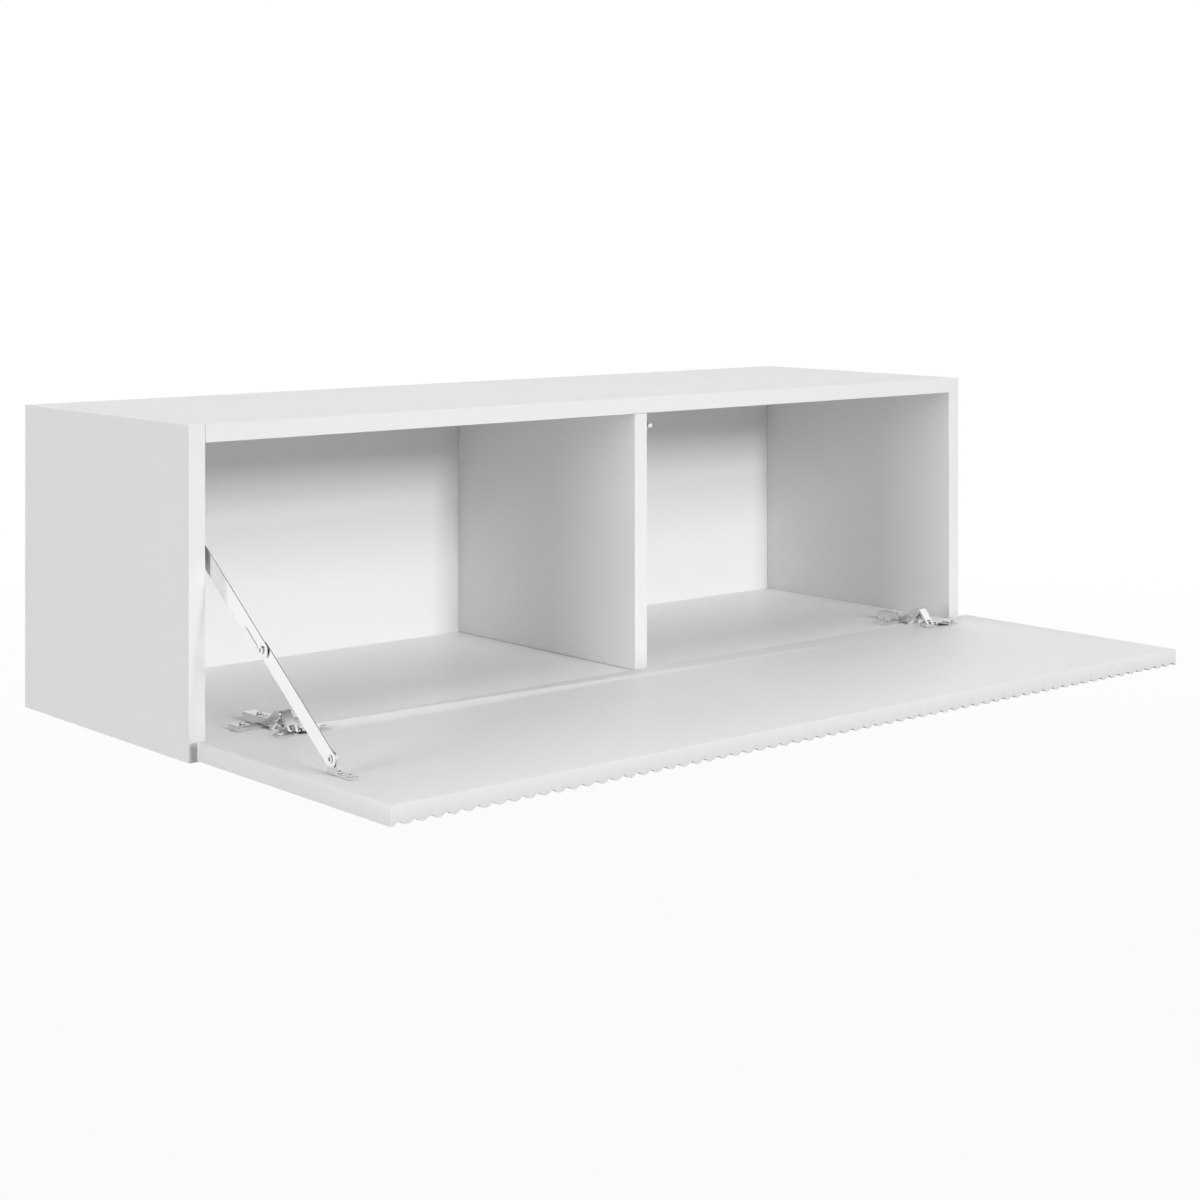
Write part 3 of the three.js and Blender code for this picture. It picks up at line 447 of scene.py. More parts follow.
def copy_to(piece, name, shift, turn=0.0, axis="Z", centre=(0, 0, 0)):
    """The same piece again at another place, turned about its own middle."""
    again = bpy.data.objects.new(name, piece.data.copy())
    bpy.context.scene.collection.objects.link(again)
    only(again)
    bpy.ops.object.mode_set(mode="EDIT")
    bpy.ops.mesh.select_all(action="SELECT")
    if turn:
        bpy.ops.transform.rotate(value=turn, orient_axis=axis, center_override=centre)
    bpy.ops.transform.translate(value=shift)
    bpy.ops.object.mode_set(mode="OBJECT")
    return again


def middle(node):
    low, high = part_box(node)
    return (low + high) / 2


front_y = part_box("floor_panel")[0].y
shelf_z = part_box("floor_panel")[1].z
hinge_x = middle("hinge_left_plate").x
to_right_hinge = (middle("hinge_right_plate").x - hinge_x, 0, 0)


def at_hinge(x, y, z):
    """A place on the left hinge, from its middle, the front edges and the shelf."""
    return (hinge_x + x, front_y + y, shelf_z + z)


def hinge_post(name, radius, place, low, high, sides=40):
    """An upright rod on the left hinge, at a place seen from above."""
    return rod(name, radius, at_hinge(*place, low), at_hinge(*place, high), sides)


cast_nickel = new_material("cast_nickel", (0.8, 0.79, 0.78), 0.24, 1.0)
vary_roughness(cast_nickel, noise(cast_nickel, 900, 3), 0.2, 0.29)
raise_bump(cast_nickel, noise(cast_nickel, 2600, 2), 0.12, 0.00004)

plate_half = 0.033
plate_front = 0.0145
plate_back = 0.029
plate_under = 0.0003
plate_corner = 0.0012
strap_top = 0.0024
pad_inside = 0.017
pad_slope = 0.0016
pad_top = 0.0053
rail_half = 0.0048
rail_back = 0.052
rail_slope = 0.004
rail_top = 0.0078
plate_screw_x = 0.0236
plate_screw_y = 0.02175
fixing_y = 0.031
adjusting_y = 0.0215

plate = block("hinge_left_plate_casting", at_hinge(-plate_half, plate_front, plate_under),
              at_hinge(plate_half, plate_back, strap_top))
round_off(plate, plate_corner, 4, upright)
for side in (-1, 1):
    pad = block("pad", at_hinge(side * pad_inside, plate_front, plate_under),
                at_hinge(side * plate_half, plate_back, pad_top))
    outer_x = hinge_x + side * plate_half
    inner_x = hinge_x + side * pad_inside
    round_off(pad, plate_corner, 4, lambda a, b: upright(a, b) and close(a.x, outer_x))
    nudge(pad, (side * pad_slope, 0, 0), lambda co: close(co.x, inner_x) and co.z > shelf_z + strap_top)
    cut(plate, pad, "UNION")
rail = block("rail", at_hinge(-rail_half, plate_front, plate_under),
             at_hinge(rail_half, rail_back, rail_top))
nudge(rail, (0, -rail_slope, 0), lambda co: co.y > front_y + plate_back and co.z > shelf_z + strap_top)
cut(plate, rail, "UNION")
for side in (-1, 1):
    cut(plate, hinge_post("clearance", 0.0019, (side * plate_screw_x, plate_screw_y), -0.002, 0.008))
for back in (fixing_y, adjusting_y):
    cut(plate, hinge_post("thread", 0.0021, (0, back), 0.0034, 0.012))
polish(plate, 0.0003)
fit(plate, cast_nickel, "cabinet", "nickel_steel", "hinge_left_plate")
plate = copy_to(plate, "hinge_right_plate_casting", to_right_hinge)
fit(plate, cast_nickel, "cabinet", "nickel_steel", "hinge_right_plate")

# Hinge arms.
# A channel pressed from 1.2 mm steel and nickel plated: two cheeks under one web, low at the knee
# and raised at the nose, where a rivet through each cheek carries each link. Between nose and plate
# it stands clear of the floor.
def pressed(name, outline, thickness):
    """Sheet cut to an outline: its corners drawn one after another, filled and thickened."""
    bpy.ops.object.select_all(action="DESELECT")
    bpy.ops.mesh.primitive_plane_add(size=0.001, location=outline[0])
    piece = bpy.context.object
    piece.name = name
    bpy.ops.object.transform_apply(location=True, rotation=True, scale=True)
    bpy.ops.object.mode_set(mode="EDIT")
    bpy.ops.mesh.select_all(action="SELECT")
    bpy.ops.mesh.merge(type="CENTER")
    for here, there in zip(outline, outline[1:]):
        step = [b - a for a, b in zip(here, there)]
        bpy.ops.mesh.extrude_vertices_move(TRANSFORM_OT_translate={"value": step})
    bpy.ops.mesh.select_all(action="SELECT")
    bpy.ops.mesh.edge_face_add()
    bpy.ops.mesh.extrude_region_move(TRANSFORM_OT_translate={"value": thickness})
    bpy.ops.mesh.select_all(action="SELECT")
    bpy.ops.mesh.normals_make_consistent(inside=False)
    bpy.ops.object.mode_set(mode="OBJECT")
    return piece


def bend(centre, radius, first, last, steps):
    """Points along an arc, between two angles in degrees."""
    turns = [math.radians(first + (last - first) * step / steps) for step in range(steps + 1)]
    return [(centre[0] + radius * math.cos(turn), centre[1] + radius * math.sin(turn)) for turn in turns]


def hinge_sheet(name, line, left, right):
    """Sheet on the left hinge, cut to a line seen from the side, from its left to its right face."""
    return pressed(name, [at_hinge(left, y, z) for y, z in line], (right - left, 0, 0))


def hinge_pin(name, radius, start, end, place, sides=32):
    """A rod across the left hinge, at a place seen from the side."""
    return rod(name, radius, at_hinge(start, *place), at_hinge(end, *place), sides)


arm_half = 0.0065
arm_back = 0.05
sheet = 0.0012
web_under = 0.0081
web_top = 0.0093
knee_y = 0.009
nose_y = 0.0025
nose_under = 0.0124
nose_top = 0.0136
beak = (-0.004, 0.0186)
cheek_under = 0.0032
toe_back = 0.0045
toe_under = 0.001
outer_rivet = (-0.0095, 0.0158)
inner_rivet = (-0.004, 0.0095)
rivet_land = 0.0028
slot_half = 0.0021
slot_ends = (0.029, 0.033)
slot_low = 0.006
slot_high = 0.012

nickel = new_material("bright_nickel", (0.8, 0.795, 0.785), 0.14, 1.0)
vary_roughness(nickel, noise(nickel, 160, 3, (1, 4, 1)), 0.11, 0.19)
raise_bump(nickel, noise(nickel, 1500, 2, (1, 6, 1)), 0.06, 0.00003)

web_line = [(arm_back, web_top), (knee_y, web_top), (nose_y, nose_top)]
web_line += [(nose_y, nose_under), (knee_y, web_under), (arm_back, web_under)]
arm = hinge_sheet("hinge_left_arm_pressing", web_line, -arm_half, arm_half)
cheek_line = [(arm_back, cheek_under), (arm_back, web_top), (knee_y, web_top), beak]
cheek_line += bend(outer_rivet, rivet_land, 90, 225, 10) + bend(inner_rivet, rivet_land, 180, 270, 8)
cheek_line += [(0, toe_under), (toe_back, toe_under), (toe_back, cheek_under)]
for left in (-arm_half, arm_half - sheet):
    cut(arm, hinge_sheet("cheek", cheek_line, left, left + sheet), "UNION")
slot = block("slot", at_hinge(-slot_half, slot_ends[0], slot_low),
             at_hinge(slot_half, slot_ends[1], slot_high))
for back in slot_ends:
    cut(slot, hinge_post("slot_end", slot_half, (0, back), slot_low, slot_high, 24), "UNION")
cut(arm, slot)
cut(arm, hinge_post("clearance", slot_half, (0, adjusting_y), slot_low, slot_high, 24))
for side in (-1, 1):
    for place in (outer_rivet, inner_rivet):
        rivet = hinge_pin("rivet", 0.002, side * (arm_half - 0.0005), side * (arm_half + 0.0007), place, 24)
        cut(arm, rivet, "UNION")
polish(arm, 0.00028)
fit(arm, nickel, "cabinet", "nickel_steel", "hinge_left_arm")
arm = copy_to(arm, "hinge_right_arm_pressing", to_right_hinge)
fit(arm, nickel, "cabinet", "nickel_steel", "hinge_right_arm")

# Hinge links.
# Two steel links, nickel plated, between the arm's rivets and the pivots in the cup. The outer one is
# wrapped over its rivet and as wide as the channel, with a fork at its foot that the inner one passes.
outer_seat = (-0.022298, 0.0014)
outer_half = 0.005
strip = 0.0014
strip_bow = 0.002
strip_steps = 20
eye_radius = 0.0021
wrap_over_eye = 0.0012
wrap_radius = eye_radius + wrap_over_eye
wrap_start = 30
fork_gap = 0.0027
gap_share = 0.3
gap_reach = 0.01
spare = 0.001
wall_thick = 0.0009
wall_depth = 0.0024
wall_steps = 13
pivot_bore = 0.00135
pivot_reach = 0.008

strip_foot = Vector(outer_seat)
strip_head = Vector(outer_rivet)
chord = strip_head - strip_foot
lean = 90 + math.degrees(math.atan2(chord.y, chord.x) + math.asin(wrap_over_eye / chord.length))
outwards = Vector((math.cos(math.radians(lean)), math.sin(math.radians(lean))))


def strip_side(inset, steps=strip_steps):
    """The strip's bowed line that far inside its face, so many steps from the rivet to the pivot."""
    foot = strip_foot + outwards * (eye_radius - inset)
    head = strip_head + outwards * (wrap_radius - inset)
    shares = [1 - step / strip_steps for step in range(steps + 1)]
    return [tuple(foot.lerp(head, share) + outwards * strip_bow * share * (1 - share)) for share in shares]


# The parts are joined wider than the link and then cut to its width, so that no two faces coincide.
strip_line = bend(strip_head, wrap_radius, wrap_start, lean, 14)[:-1] + strip_side(0)
strip_line += strip_side(strip)[::-1] + bend(strip_head, wrap_radius - strip, lean, wrap_start, 14)[1:]
link = hinge_sheet("hinge_left_outer_link_pressing", strip_line, -outer_half - spare, outer_half + spare)
for place in (outer_seat, outer_rivet):
    eye = hinge_pin("eye", eye_radius, -outer_half - 2 * spare, outer_half + 2 * spare, place)
    cut(link, eye, "UNION")
wall_line = strip_side(strip / 2, wall_steps) + strip_side(wall_depth, wall_steps)[::-1]
for left, right in ((-outer_half - 3 * spare, wall_thick - outer_half),
                    (outer_half - wall_thick, outer_half + 3 * spare)):
    cut(link, hinge_sheet("side_wall", wall_line, left, right), "UNION")
gap_top = strip_foot.lerp(strip_head, gap_share)
gap_end = strip_foot.lerp(strip_head, -gap_share)
aside = outwards * gap_reach
gap_line = [tuple(gap_top + aside), tuple(gap_top - aside), tuple(gap_end - aside), tuple(gap_end + aside)]
cut(link, hinge_sheet("gap", gap_line, -fork_gap, fork_gap))
cut(link, hinge_pin("pivot_hole", pivot_bore, -pivot_reach, pivot_reach, outer_seat))
cut(link, block("width", at_hinge(-outer_half, -0.04, -0.01), at_hinge(outer_half, 0.01, 0.03)), "INTERSECT")
polish(link, 0.0002)
fit(link, nickel, "hinge_left_outer_link", "nickel_steel", "hinge_left_outer_link")
link = copy_to(link, "hinge_right_outer_link_pressing", to_right_hinge)
fit(link, nickel, "hinge_right_outer_link", "nickel_steel", "hinge_right_outer_link")

inner_seat = (-0.018406, 0.0016)
inner_half = 0.0022
inner_eye = 0.00185
arch_rise = 0.0018
arch_half = 0.0007

arch_foot = Vector(inner_seat)
arch_head = Vector(inner_rivet)
chord = arch_head - arch_foot
radius = (chord.length_squared / 4 + arch_rise * arch_rise) / (2 * arch_rise)
centre = (arch_foot + arch_head) / 2 + Vector((-chord.y, chord.x)).normalized() * (arch_rise - radius)
first = math.degrees(math.atan2(arch_foot.y - centre.y, arch_foot.x - centre.x))
last = first - math.degrees(2 * math.asin(chord.length / (2 * radius)))
arch_line = bend(centre, radius + arch_half, first, last, 14)
arch_line += bend(centre, radius - arch_half, last, first, 14)
link = hinge_sheet("hinge_left_inner_link_pressing", arch_line, -inner_half, inner_half)
for place in (inner_seat, inner_rivet):
    cut(link, hinge_pin("eye", inner_eye, -inner_half, inner_half, place), "UNION")
cut(link, hinge_pin("pivot_hole", pivot_bore, -pivot_reach, pivot_reach, inner_seat))
polish(link, 0.0002)
fit(link, nickel, "hinge_left_inner_link", "nickel_steel", "hinge_left_inner_link")
link = copy_to(link, "hinge_right_inner_link_pressing", to_right_hinge)
fit(link, nickel, "hinge_right_inner_link", "nickel_steel", "hinge_right_inner_link")

# Hinge cups.
# A cup drawn from steel sheet with a long flange for two screws, sunk in the flap, and deep only
# between two shelves. Two ears hold the inner link's pin, and carry the stubs of the outer link.
cup_y = -0.0323
cup_bottom = -0.0074
cup_wall = 0.001
cup_over = 0.008
flange_half = 0.0275
flange_front = -0.0122
flange_back = 0.0018
flange_under = 0.0045
flange_top = 0.0054
flange_corner = 0.005
pocket_half = 0.0076
pocket_reach = 0.018
shelf_wall = 0.0005
shelf_drop = 0.0008
ear_half = 0.0054
ear_thick = 0.0015
ear_radius = 0.0027
stub_end = ear_half + 0.0005
pin_radius = 0.0012
cup_screw_x = 0.0225
cup_screw_y = cup_y - 0.0052
screw_clearance = 0.0018
notch_half = 0.0062
notch_under = 0.0018

cup = hinge_post("hinge_left_cup_drawing", cup_radius, (0, cup_y), cup_bottom, flange_top, 72)
flange = block("flange", at_hinge(-flange_half, cup_y + flange_front, flange_under),
               at_hinge(flange_half, cup_y + flange_back, flange_top))
round_off(flange, flange_corner, 8, upright)
cut(cup, flange, "UNION")
hollow = hinge_post("hollow", cup_radius - cup_wall, (0, cup_y), cup_bottom + cup_wall, cup_over, 72)
pocket = block("pocket", at_hinge(-pocket_half, cup_y - pocket_reach, -0.01),
               at_hinge(pocket_half, cup_y + pocket_reach, 0.01))
cut(hollow, pocket, "INTERSECT")
cut(cup, hollow)
shelf_top = flange_top - shelf_drop
cut(cup, hinge_post("shelf_room", cup_radius - shelf_wall, (0, cup_y), shelf_top, cup_over, 72))
ear_line = [(outer_seat[0] - ear_radius, cup_bottom), (inner_seat[0] + ear_radius, cup_bottom)]
ear_line += bend(inner_seat, ear_radius, 0, 90, 6) + bend(outer_seat, ear_radius, 90, 180, 6)
for left in (-ear_half - ear_thick, ear_half):
    ear = hinge_sheet("ear", ear_line, left, left + ear_thick)
    cut(ear, hinge_post("envelope", cup_radius, (0, cup_y), -0.02, 0.02, 72), "INTERSECT")
    cut(cup, ear, "UNION")
for side in (-1, 1):
    cut(cup, hinge_pin("stub", pin_radius, side * fork_gap, side * stub_end, outer_seat, 24), "UNION")
    cut(cup, hinge_post("clearance", screw_clearance, (side * cup_screw_x, cup_screw_y), 0, 0.01, 24))
notch_low = at_hinge(-notch_half, inner_seat[0], notch_under)
cut(cup, block("notch", notch_low, at_hinge(notch_half, cup_y + cup_radius + 0.002, 0.009)))
cut(cup, hinge_pin("pin_hole", 0.001275, -0.012, 0.012, inner_seat, 24))
polish(cup, 0.00025)
fit(cup, nickel, "flap", "nickel_steel", "hinge_left_cup")
cup = copy_to(cup, "hinge_right_cup_drawing", to_right_hinge)
fit(cup, nickel, "flap", "nickel_steel", "hinge_right_cup")

pin_half = ear_half + ear_thick
pin = hinge_pin("hinge_left_cup_pin_turned", pin_radius, -pin_half, pin_half, inner_seat, 24)
polish(pin, 0.00025)
fit(pin, nickel, "flap", "nickel_steel", "hinge_left_cup_pin")
pin = copy_to(pin, "hinge_right_cup_pin_turned", to_right_hinge)
fit(pin, nickel, "flap", "nickel_steel", "hinge_right_cup_pin")

# Hinge screws.
# Pan heads with a cross recess, nickel plated: two in each mounting plate, two in each cup's flange,
# and a fixing and an adjusting screw on each arm.
recess_length_share = 0.56
recess_width_share = 0.12
recess_depth_share = 0.7
head_round_share = 0.6


def cross_head(node, facing, rise, shank):
    """A screw with the head's size and the length of its node."""
    low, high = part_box(node)
    out = Vector(facing)
    reach = high - low
    length = abs(reach.dot(out))
    head = (reach.x + reach.y + reach.z - length) / 4
    tip = (low + high) / 2 + out * length / 2
    screw = rod(node + "_cross_head", head, tip - out * rise, tip, 40)
    round_off(screw, rise * head_round_share, 5,
              lambda a, b: close((a - tip).dot(out), 0) and close((b - tip).dot(out), 0))
    cut(screw, rod("shank", shank, tip - out * length, tip - out * (rise - 0.0003), 20), "UNION")
    across = Vector((out.y, out.z, out.x))
    other = out.cross(across)
    for long, short in ((across, other), (other, across)):
        corner = long * head * recess_length_share + short * head * recess_width_share
        floor_of_recess = tip - out * rise * recess_depth_share
        cut(screw, block("recess", floor_of_recess - corner, tip + corner + out * 0.001))
    polish(screw, 0.00008)
    return screw


def row_of_screws(nodes_and_bodies, facing, rise, shank, material, slot):
    """The first screw is made, and the rest are copies, each left at its own turn."""
    first_node, body = nodes_and_bodies[0]
    first = cross_head(first_node, facing, rise, shank)
    fit(first, material, body, slot, first_node)
    start = middle(first_node)
    axis = "XYZ"[facing.index(1)]
    for number, (node, body) in enumerate(nodes_and_bodies[1:], 1):
        turn = math.radians(25 + 37 * number)
        screw = copy_to(first, node + "_cross_head", middle(node) - start, turn, axis, start)
        fit(screw, material, body, slot, node)


four = [("left", 1), ("left", 2), ("right", 1), ("right", 2)]
row_of_screws([(f"hinge_{side}_plate_screw_{number}", "cabinet") for side, number in four],
              facing=(0, 0, 1), rise=0.0017, shank=0.0016, material=nickel, slot="nickel_steel")
row_of_screws([(f"hinge_{side}_cup_screw_{number}", "flap") for side, number in four],
              facing=(0, 0, 1), rise=0.0017, shank=0.0015, material=nickel, slot="nickel_steel")
row_of_screws([("hinge_left_fixing_screw", "cabinet"), ("hinge_right_fixing_screw", "cabinet")],
              facing=(0, 0, 1), rise=0.0016, shank=0.0018, material=nickel, slot="nickel_steel")
row_of_screws([("hinge_left_adjusting_screw", "cabinet"), ("hinge_right_adjusting_screw", "cabinet")],
              facing=(0, 0, 1), rise=0.0009, shank=0.0018, material=nickel, slot="nickel_steel")

# Folding stay.
# Two flat steel bars, nickel plated, that fold at a rivet in the middle. One turns on a bracket on
# the left side, the other on a bent bracket on the flap, and a lip at the neck stops them in line.
side_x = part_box("side_panel_left")[1].x
top_pivot = Vector((0.016, 0.1665))
foot_pivot = Vector((-0.185, 0.0172))
elbow_share = 0.492
elbow = foot_pivot.lerp(top_pivot, elbow_share)
upper_faces = (0.0026, 0.0035)
lower_faces = (0.0044, 0.0054)
upper_width = 0.0164
lower_width = 0.0146
pivot_hole = 0.00245
neck = 0.029
neck_slope = 0.0054
neck_edge = upper_width / 2 - 0.011
relief_edge = -0.0102
lip_start = 0.0072
lip_wide = 0.0013
lip_faces = (0.0021, upper_faces[1])


def at_stay(x, y, z):
    """A place on the stay, from the left side's inner face, the front edges and the shelf."""
    return (side_x + x, front_y + y, shelf_z + z)


def stay_sheet(name, line, left, right):
    """Sheet on the stay, cut to a line seen from the side, from its left to its right face."""
    return pressed(name, [at_stay(left, y, z) for y, z in line], (right - left, 0, 0))


def stay_rod(name, radius, left, right, place, sides=32):
    """A rod across the stay, at a place seen from the side."""
    return rod(name, radius, at_stay(left, *place), at_stay(right, *place), sides)


def flat_bar(name, start, end, width, faces):
    """A bar with round ends about two points."""
    lean = math.degrees(math.atan2(end.y - start.y, end.x - start.x))
    line = bend(end, width / 2, lean - 90, lean + 90, 24)
    line += bend(start, width / 2, lean + 90, lean + 270, 24)
    return stay_sheet(name, line, *faces)


def beside(along, across):
    """A point along the upper bar from the elbow, and across it."""
    line = (top_pivot - elbow).normalized()
    return (elbow.x + line.x * along - line.y * across, elbow.y + line.y * along + line.x * across)


bar = flat_bar("stay_upper_flat_bar", elbow, top_pivot, upper_width, upper_faces)
relief = [beside(-upper_width, relief_edge), beside(neck + neck_slope, relief_edge)]
relief += [beside(neck, neck_edge), beside(-upper_width, neck_edge)]
cut(bar, stay_sheet("relief", relief, -0.001, 0.007))
lip = [beside(lip_start, neck_edge), beside(neck, neck_edge)]
lip += [beside(neck, neck_edge + lip_wide), beside(lip_start, neck_edge + lip_wide)]
cut(bar, stay_sheet("lip", lip, *lip_faces), "UNION")
for place in (top_pivot, elbow):
    cut(bar, stay_rod("pivot_hole", pivot_hole, 0, 0.008, place))
polish(bar, 0.0003, 3)
fit(bar, nickel, "stay_upper", "nickel_steel", "stay_upper_bar")

rivet_radius = 0.0023
rivet_head = 0.0035
rivet_bore = 0.0017
collar_faces = (0.0038, 0.0041)

bar = flat_bar("stay_lower_flat_bar", foot_pivot, elbow, lower_width, lower_faces)
cut(bar, stay_rod("rivet_head", rivet_head, sum(lower_faces) / 2, 0.0067, elbow), "UNION")
cut(bar, stay_rod("pivot_hole", pivot_hole, 0.004, 0.01, foot_pivot))
polish(bar, 0.0003, 3)
fit(bar, nickel, "stay_lower", "nickel_steel", "stay_lower_bar")


def stay_rivet(name, place, shaft_faces, head_faces, bore_faces=None):
    """A formed rivet across the stay, its shaft ending inside its heads, and hollow along a bore."""
    rivet = stay_rod(name, rivet_radius, *shaft_faces, place)
    for faces in head_faces:
        cut(rivet, stay_rod("head", rivet_head, *faces, place), "UNION")
    if bore_faces:
        cut(rivet, stay_rod("bore", rivet_bore, *bore_faces, place))
    polish(rivet, 0.0001, 3)
    return rivet


elbow_heads = [(0.0011, 0.0023), collar_faces]
rivet = stay_rivet("stay_elbow_rivet_formed", elbow, (0.0013, 0.004), elbow_heads, (0, 0.0038))
fit(rivet, nickel, "stay_upper", "nickel_steel", "stay_elbow_rivet")
rivet = stay_rivet("stay_upper_rivet_formed", top_pivot, (0.0021, 0.004), [collar_faces])
fit(rivet, nickel, "cabinet", "nickel_steel", "stay_upper_rivet")
rivet = stay_rivet("stay_lower_rivet_formed", foot_pivot, (0.0039, 0.0075), [collar_faces], (0.003, 0.0072))
fit(rivet, nickel, "flap", "nickel_steel", "stay_lower_rivet")

bracket_low = (0.0003, 0.007, 0.1575)
bracket_high = (0.0018, 0.025, 0.2025)
bracket_corner = 0.0015
side_screw_rises = (0.0145, 0.0275)

bracket = block("stay_side_bracket_pressing", at_stay(*bracket_low), at_stay(*bracket_high))
round_off(bracket, bracket_corner, 4, lambda a, b: close(a.y, b.y) and close(a.z, b.z))
for rise in side_screw_rises:
    place = (top_pivot.x, top_pivot.y + rise)
    cut(bracket, stay_rod("clearance", screw_clearance, -0.001, 0.003, place, 24))
polish(bracket, 0.00025)
fit(bracket, nickel, "cabinet", "nickel_steel", "stay_side_bracket")

tab_faces = (0.006, 0.0075)
tab_radius = 0.0065
foot_under = 0.0045
foot_thick = 0.0015
foot_wide = 0.01
foot_front = 0.026
foot_back = 0.009
foot_corner = 0.003
foot_screws = (0.0035, 0.019)

tab_line = [(foot_pivot.x - tab_radius, foot_under), (foot_pivot.x + tab_radius, foot_under)]
tab_line += bend(foot_pivot, tab_radius, 0, 180, 20)
bracket = stay_sheet("stay_flap_bracket_pressing", tab_line, *tab_faces)
foot = block("foot", at_stay(tab_faces[0], foot_pivot.x - foot_front, foot_under),
             at_stay(tab_faces[0] + foot_wide, foot_pivot.x + foot_back, foot_under + foot_thick))
room_x = side_x + tab_faces[0] + foot_wide
round_off(foot, foot_corner, 5, lambda a, b: upright(a, b) and close(a.x, room_x))
cut(bracket, foot, "UNION")
cut(bracket, stay_rod("rivet_hole", rivet_radius + 0.00005, 0.005, 0.011, foot_pivot))
for forward in foot_screws:
    place = (tab_faces[0] + foot_wide / 2, foot_pivot.x - forward)
    cut(bracket, rod("clearance", screw_clearance, at_stay(*place, 0), at_stay(*place, 0.01), 24))
polish(bracket, 0.00025)
fit(bracket, nickel, "flap", "nickel_steel", "stay_flap_bracket")

row_of_screws([("stay_side_screw_1", "cabinet"), ("stay_side_screw_2", "cabinet")],
              facing=(1, 0, 0), rise=0.0014, shank=0.0015, material=nickel, slot="nickel_steel")
row_of_screws([("stay_flap_screw_1", "flap"), ("stay_flap_screw_2", "flap")],
              facing=(0, 0, 1), rise=0.0015, shank=0.0015, material=nickel, slot="nickel_steel")

# Push opener.
# A slim moulded housing screwed to the divider under the top, just behind its front edge, with a
# sprung steel plunger whose rounded cap stands out to meet the flap.
opener_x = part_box("divider_panel")[1].x
opener_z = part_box("top_panel")[0].z - 0.0127
bore_x = 0.0035


def at_opener(x, y, z):
    """A place on the opener, from the divider's right face, the front edges and the plunger."""
    return (opener_x + x, front_y + y, opener_z + z)


def opener_rod(name, radius, front, back, sides=32):
    """A rod in the line of the plunger."""
    return rod(name, radius, at_opener(bore_x, front, 0), at_opener(bore_x, back, 0), sides)


moulded = new_material("moulded_grey_plastic", (0.58, 0.58, 0.57), 0.5)
vary_colour(moulded, noise(moulded, 60), (0.56, 0.56, 0.55), (0.6, 0.6, 0.59))
raise_bump(moulded, noise(moulded, 3000, 2), 0.15, 0.00004)

housing_under = 0.0003
housing_out = 0.0067
housing_front = 0.009
housing_back = 0.054
housing_half = 0.004
housing_corner = 0.0014
wing_out = 0.0019
wing_half = 0.011
bore_radius = 0.0023
bore_end = 0.0518
screw_y = 0.036
screw_z = -0.0075

housing = block("push_opener_housing_moulding", at_opener(housing_under, housing_front, -housing_half),
                at_opener(housing_out, housing_back, housing_half))
room_x = opener_x + housing_out
round_off(housing, housing_corner, 4, lambda a, b: close(a.x, room_x) and close(b.x, room_x))
cut(housing, block("wing", at_opener(housing_under, housing_front, -wing_half),
                   at_opener(wing_out, housing_back, wing_half)), "UNION")
cut(housing, opener_rod("bore", bore_radius, 0.006, bore_end))
for name, radius, left, right, sides in (("clearance", 0.0016, -0.002, 0.004, 24),
                                         ("head_room", 0.0031, wing_out, 0.009, 32)):
    hole = rod(name, radius, at_opener(left, screw_y, screw_z), at_opener(right, screw_y, screw_z), sides)
    cut(housing, hole)
polish(housing, 0.0003)
fit(housing, moulded, "cabinet", "grey_plastic", "push_opener_housing")

cap_radius = 0.0027
cap_front = -0.0022
cap_back = 0.0028
cap_round = 0.0016
shaft_radius = 0.002
shaft_back = 0.021
stem_radius = 0.0009
stem_back = 0.033

plunger = opener_rod("push_opener_plunger_turned", cap_radius, cap_front, cap_back, 40)
tip_y = front_y + cap_front
round_off(plunger, cap_round, 7, lambda a, b: close(a.y, tip_y) and close(b.y, tip_y))
cut(plunger, opener_rod("shaft", shaft_radius, 0.0025, shaft_back), "UNION")
cut(plunger, opener_rod("stem", stem_radius, 0.0205, stem_back, 24), "UNION")
polish(plunger, 0.0002)
fit(plunger, nickel, "plunger", "nickel_steel", "push_opener_plunger")

wire_radius = 0.00035
coil_radius = 0.00165
coil_start = 0.02465
coil_length = 0.0265
coil_turns = 5
steps_per_turn = 20

bpy.ops.object.select_all(action="DESELECT")
bpy.ops.mesh.primitive_circle_add(vertices=10, radius=wire_radius, fill_type="NGON",
                                  location=at_opener(bore_x + coil_radius, coil_start, 0))
spring = bpy.context.object
spring.name = "push_opener_spring_coil"
bpy.ops.object.transform_apply(location=True, rotation=True, scale=True)
bpy.ops.object.mode_set(mode="EDIT")
bpy.ops.mesh.select_all(action="SELECT")
advance = coil_length / (coil_turns * steps_per_turn)
for step in range(coil_turns * steps_per_turn):
    bpy.ops.mesh.extrude_region_move(TRANSFORM_OT_translate={"value": (0, advance, 0)})
    bpy.ops.transform.rotate(value=-2 * math.pi / steps_per_turn, orient_axis="Y",
                             center_override=at_opener(bore_x, 0, 0))
bpy.ops.mesh.select_all(action="SELECT")
bpy.ops.mesh.normals_make_consistent(inside=False)
bpy.ops.object.mode_set(mode="OBJECT")
bpy.ops.object.shade_smooth_by_angle(angle=math.radians(50))
fit(spring, nickel, "cabinet", "nickel_steel", "push_opener_spring")
row_of_screws([("push_opener_screw", "cabinet")],
              facing=(1, 0, 0), rise=0.0013, shank=0.0013, material=nickel, slot="nickel_steel")

# Wall hangers.
# Two zinc-plated steel plates let into the rear corners, each with one screw into the side and a
# keyhole that drops over a screw in the wall.
zinc = new_material("zinc_plating", (0.68, 0.69, 0.7), 0.4, 1.0)
vary_colour(zinc, noise(zinc, 220, 3), (0.62, 0.63, 0.65), (0.73, 0.73, 0.73))
vary_roughness(zinc, noise(zinc, 500, 3), 0.34, 0.5)
raise_bump(zinc, noise(zinc, 1800, 2), 0.1, 0.00004)

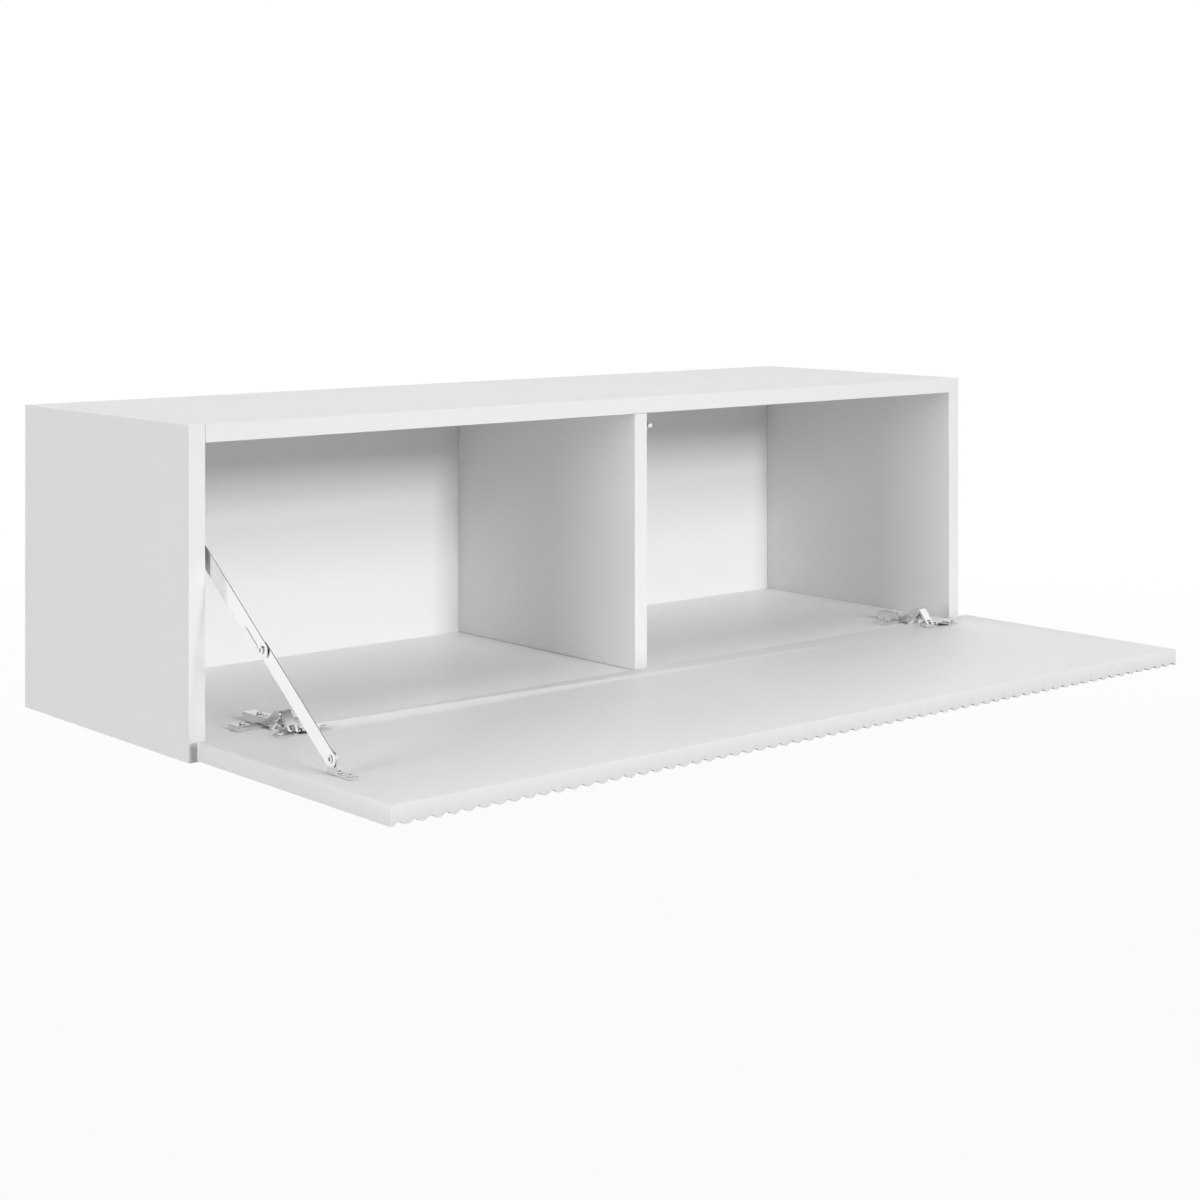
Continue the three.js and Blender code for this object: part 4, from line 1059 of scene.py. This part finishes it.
hanger_corner = 0.004
keyhole_x = -0.466
keyhole_z = -0.022
keyhole_radius = 0.005
throat_half = 0.0026
throat_rise = 0.0084
hanger_front = -0.006
hanger_behind = 0.002


def hanger_hole(name, radius, x, z, sides):
    """A rod from front to back through the left hanger."""
    return rod(name, radius, (x, hanger_front, z), (x, hanger_behind, z), sides)


hanger = block("wall_hanger_left_pressing", *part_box("wall_hanger_left"))
round_off(hanger, hanger_corner, 6, lambda a, b: close(a.x, b.x) and close(a.z, b.z))
cut(hanger, hanger_hole("keyhole", keyhole_radius, keyhole_x, keyhole_z, 40))
throat_z = keyhole_z + throat_rise
throat = block("throat", (keyhole_x - throat_half, hanger_front, keyhole_z),
               (keyhole_x + throat_half, hanger_behind, throat_z))
cut(throat, hanger_hole("throat_end", throat_half, keyhole_x, throat_z, 24), "UNION")
cut(hanger, throat)
place = middle("wall_hanger_screw_left")
cut(hanger, hanger_hole("clearance", 0.0021, place.x, place.z, 24))
polish(hanger, 0.0003)
fit(hanger, zinc, "cabinet", "zinc_plate", "wall_hanger_left")
hanger = copy_to(hanger, "wall_hanger_right_pressing", (0, 0, 0))
bpy.ops.object.mode_set(mode="EDIT")
bpy.ops.mesh.select_all(action="SELECT")
bpy.ops.transform.mirror(constraint_axis=(True, False, False), center_override=(0, 0, 0))
bpy.ops.mesh.normals_make_consistent(inside=False)
bpy.ops.object.mode_set(mode="OBJECT")
fit(hanger, zinc, "cabinet", "zinc_plate", "wall_hanger_right")
row_of_screws([("wall_hanger_screw_left", "cabinet"), ("wall_hanger_screw_right", "cabinet")],
              facing=(0, 1, 0), rise=0.0009, shank=0.0018, material=zinc, slot="zinc_plate")

# Cam fittings.
# Zinc cams in blind bores in the undersides of the top and the floor, each with a cross for the
# screwdriver and the steel bolt that it draws the side panel on with.
cam_radius = 0.0072
dish_radius = 0.0062
dish_depth = 0.0006
cross_long = 0.0042
cross_short = 0.0009
cross_depth = 0.0036
bolt_radius = 0.003
bolt_rise = 0.008

first_node = "cam_fitting_left_upper_front"
low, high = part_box(first_node)
cam_x = high.x - cam_radius
cam_y = (low.y + high.y) / 2
cam_under = low.z - 0.001
cam = rod(first_node + "_casting", cam_radius, (cam_x, cam_y, low.z), (cam_x, cam_y, high.z), 56)
cut(cam, rod("dish", dish_radius, (cam_x, cam_y, cam_under), (cam_x, cam_y, low.z + dish_depth), 48))
for half_x, half_y in ((cross_long, cross_short), (cross_short, cross_long)):
    cut(cam, block("cross", (cam_x - half_x, cam_y - half_y, cam_under),
                   (cam_x + half_x, cam_y + half_y, low.z + cross_depth)))
bolt_z = low.z + bolt_rise
cut(cam, rod("bolt", bolt_radius, (low.x, cam_y, bolt_z), (cam_x - 0.005, cam_y, bolt_z), 28), "UNION")
polish(cam, 0.00025)
fit(cam, zinc, "cabinet", "zinc_plate", first_node)
for node in sorted(name for name in nodes if name.startswith("cam_fitting") and name != first_node):
    there_low, there_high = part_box(node)
    on_right = "_right_" in node
    there_x = there_low.x + cam_radius if on_right else there_high.x - cam_radius
    shift = (there_x - cam_x, middle(node).y - cam_y, there_low.z - low.z)
    again = copy_to(cam, node + "_casting", shift, math.pi if on_right else 0, "Z", (cam_x, cam_y, 0))
    fit(again, zinc, "cabinet", "zinc_plate", node)

# Divider dowels.
# Plain beech pins, glued half in the divider and half in the top or the floor, and out of sight.
beech = new_material("bare_beech", (0.7, 0.54, 0.36), 0.65)
grain = (1, 1, 0.08)
vary_colour(beech, noise(beech, 900, 4, grain), (0.62, 0.46, 0.3), (0.74, 0.58, 0.4))
raise_bump(beech, noise(beech, 900, 4, grain), 0.15, 0.0001)
for node in ("divider_dowel_upper", "divider_dowel_lower"):
    low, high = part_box(node)
    x, y = middle(node).x, middle(node).y
    pin = rod(node + "_turned", (high.x - low.x) / 2, (x, y, low.z), (x, y, high.z), 32)
    round_off(pin, 0.001, 3, lambda a, b: close(a.z, b.z))
    polish(pin, 0.0002)
    fit(pin, beech, "cabinet", "beech", node)
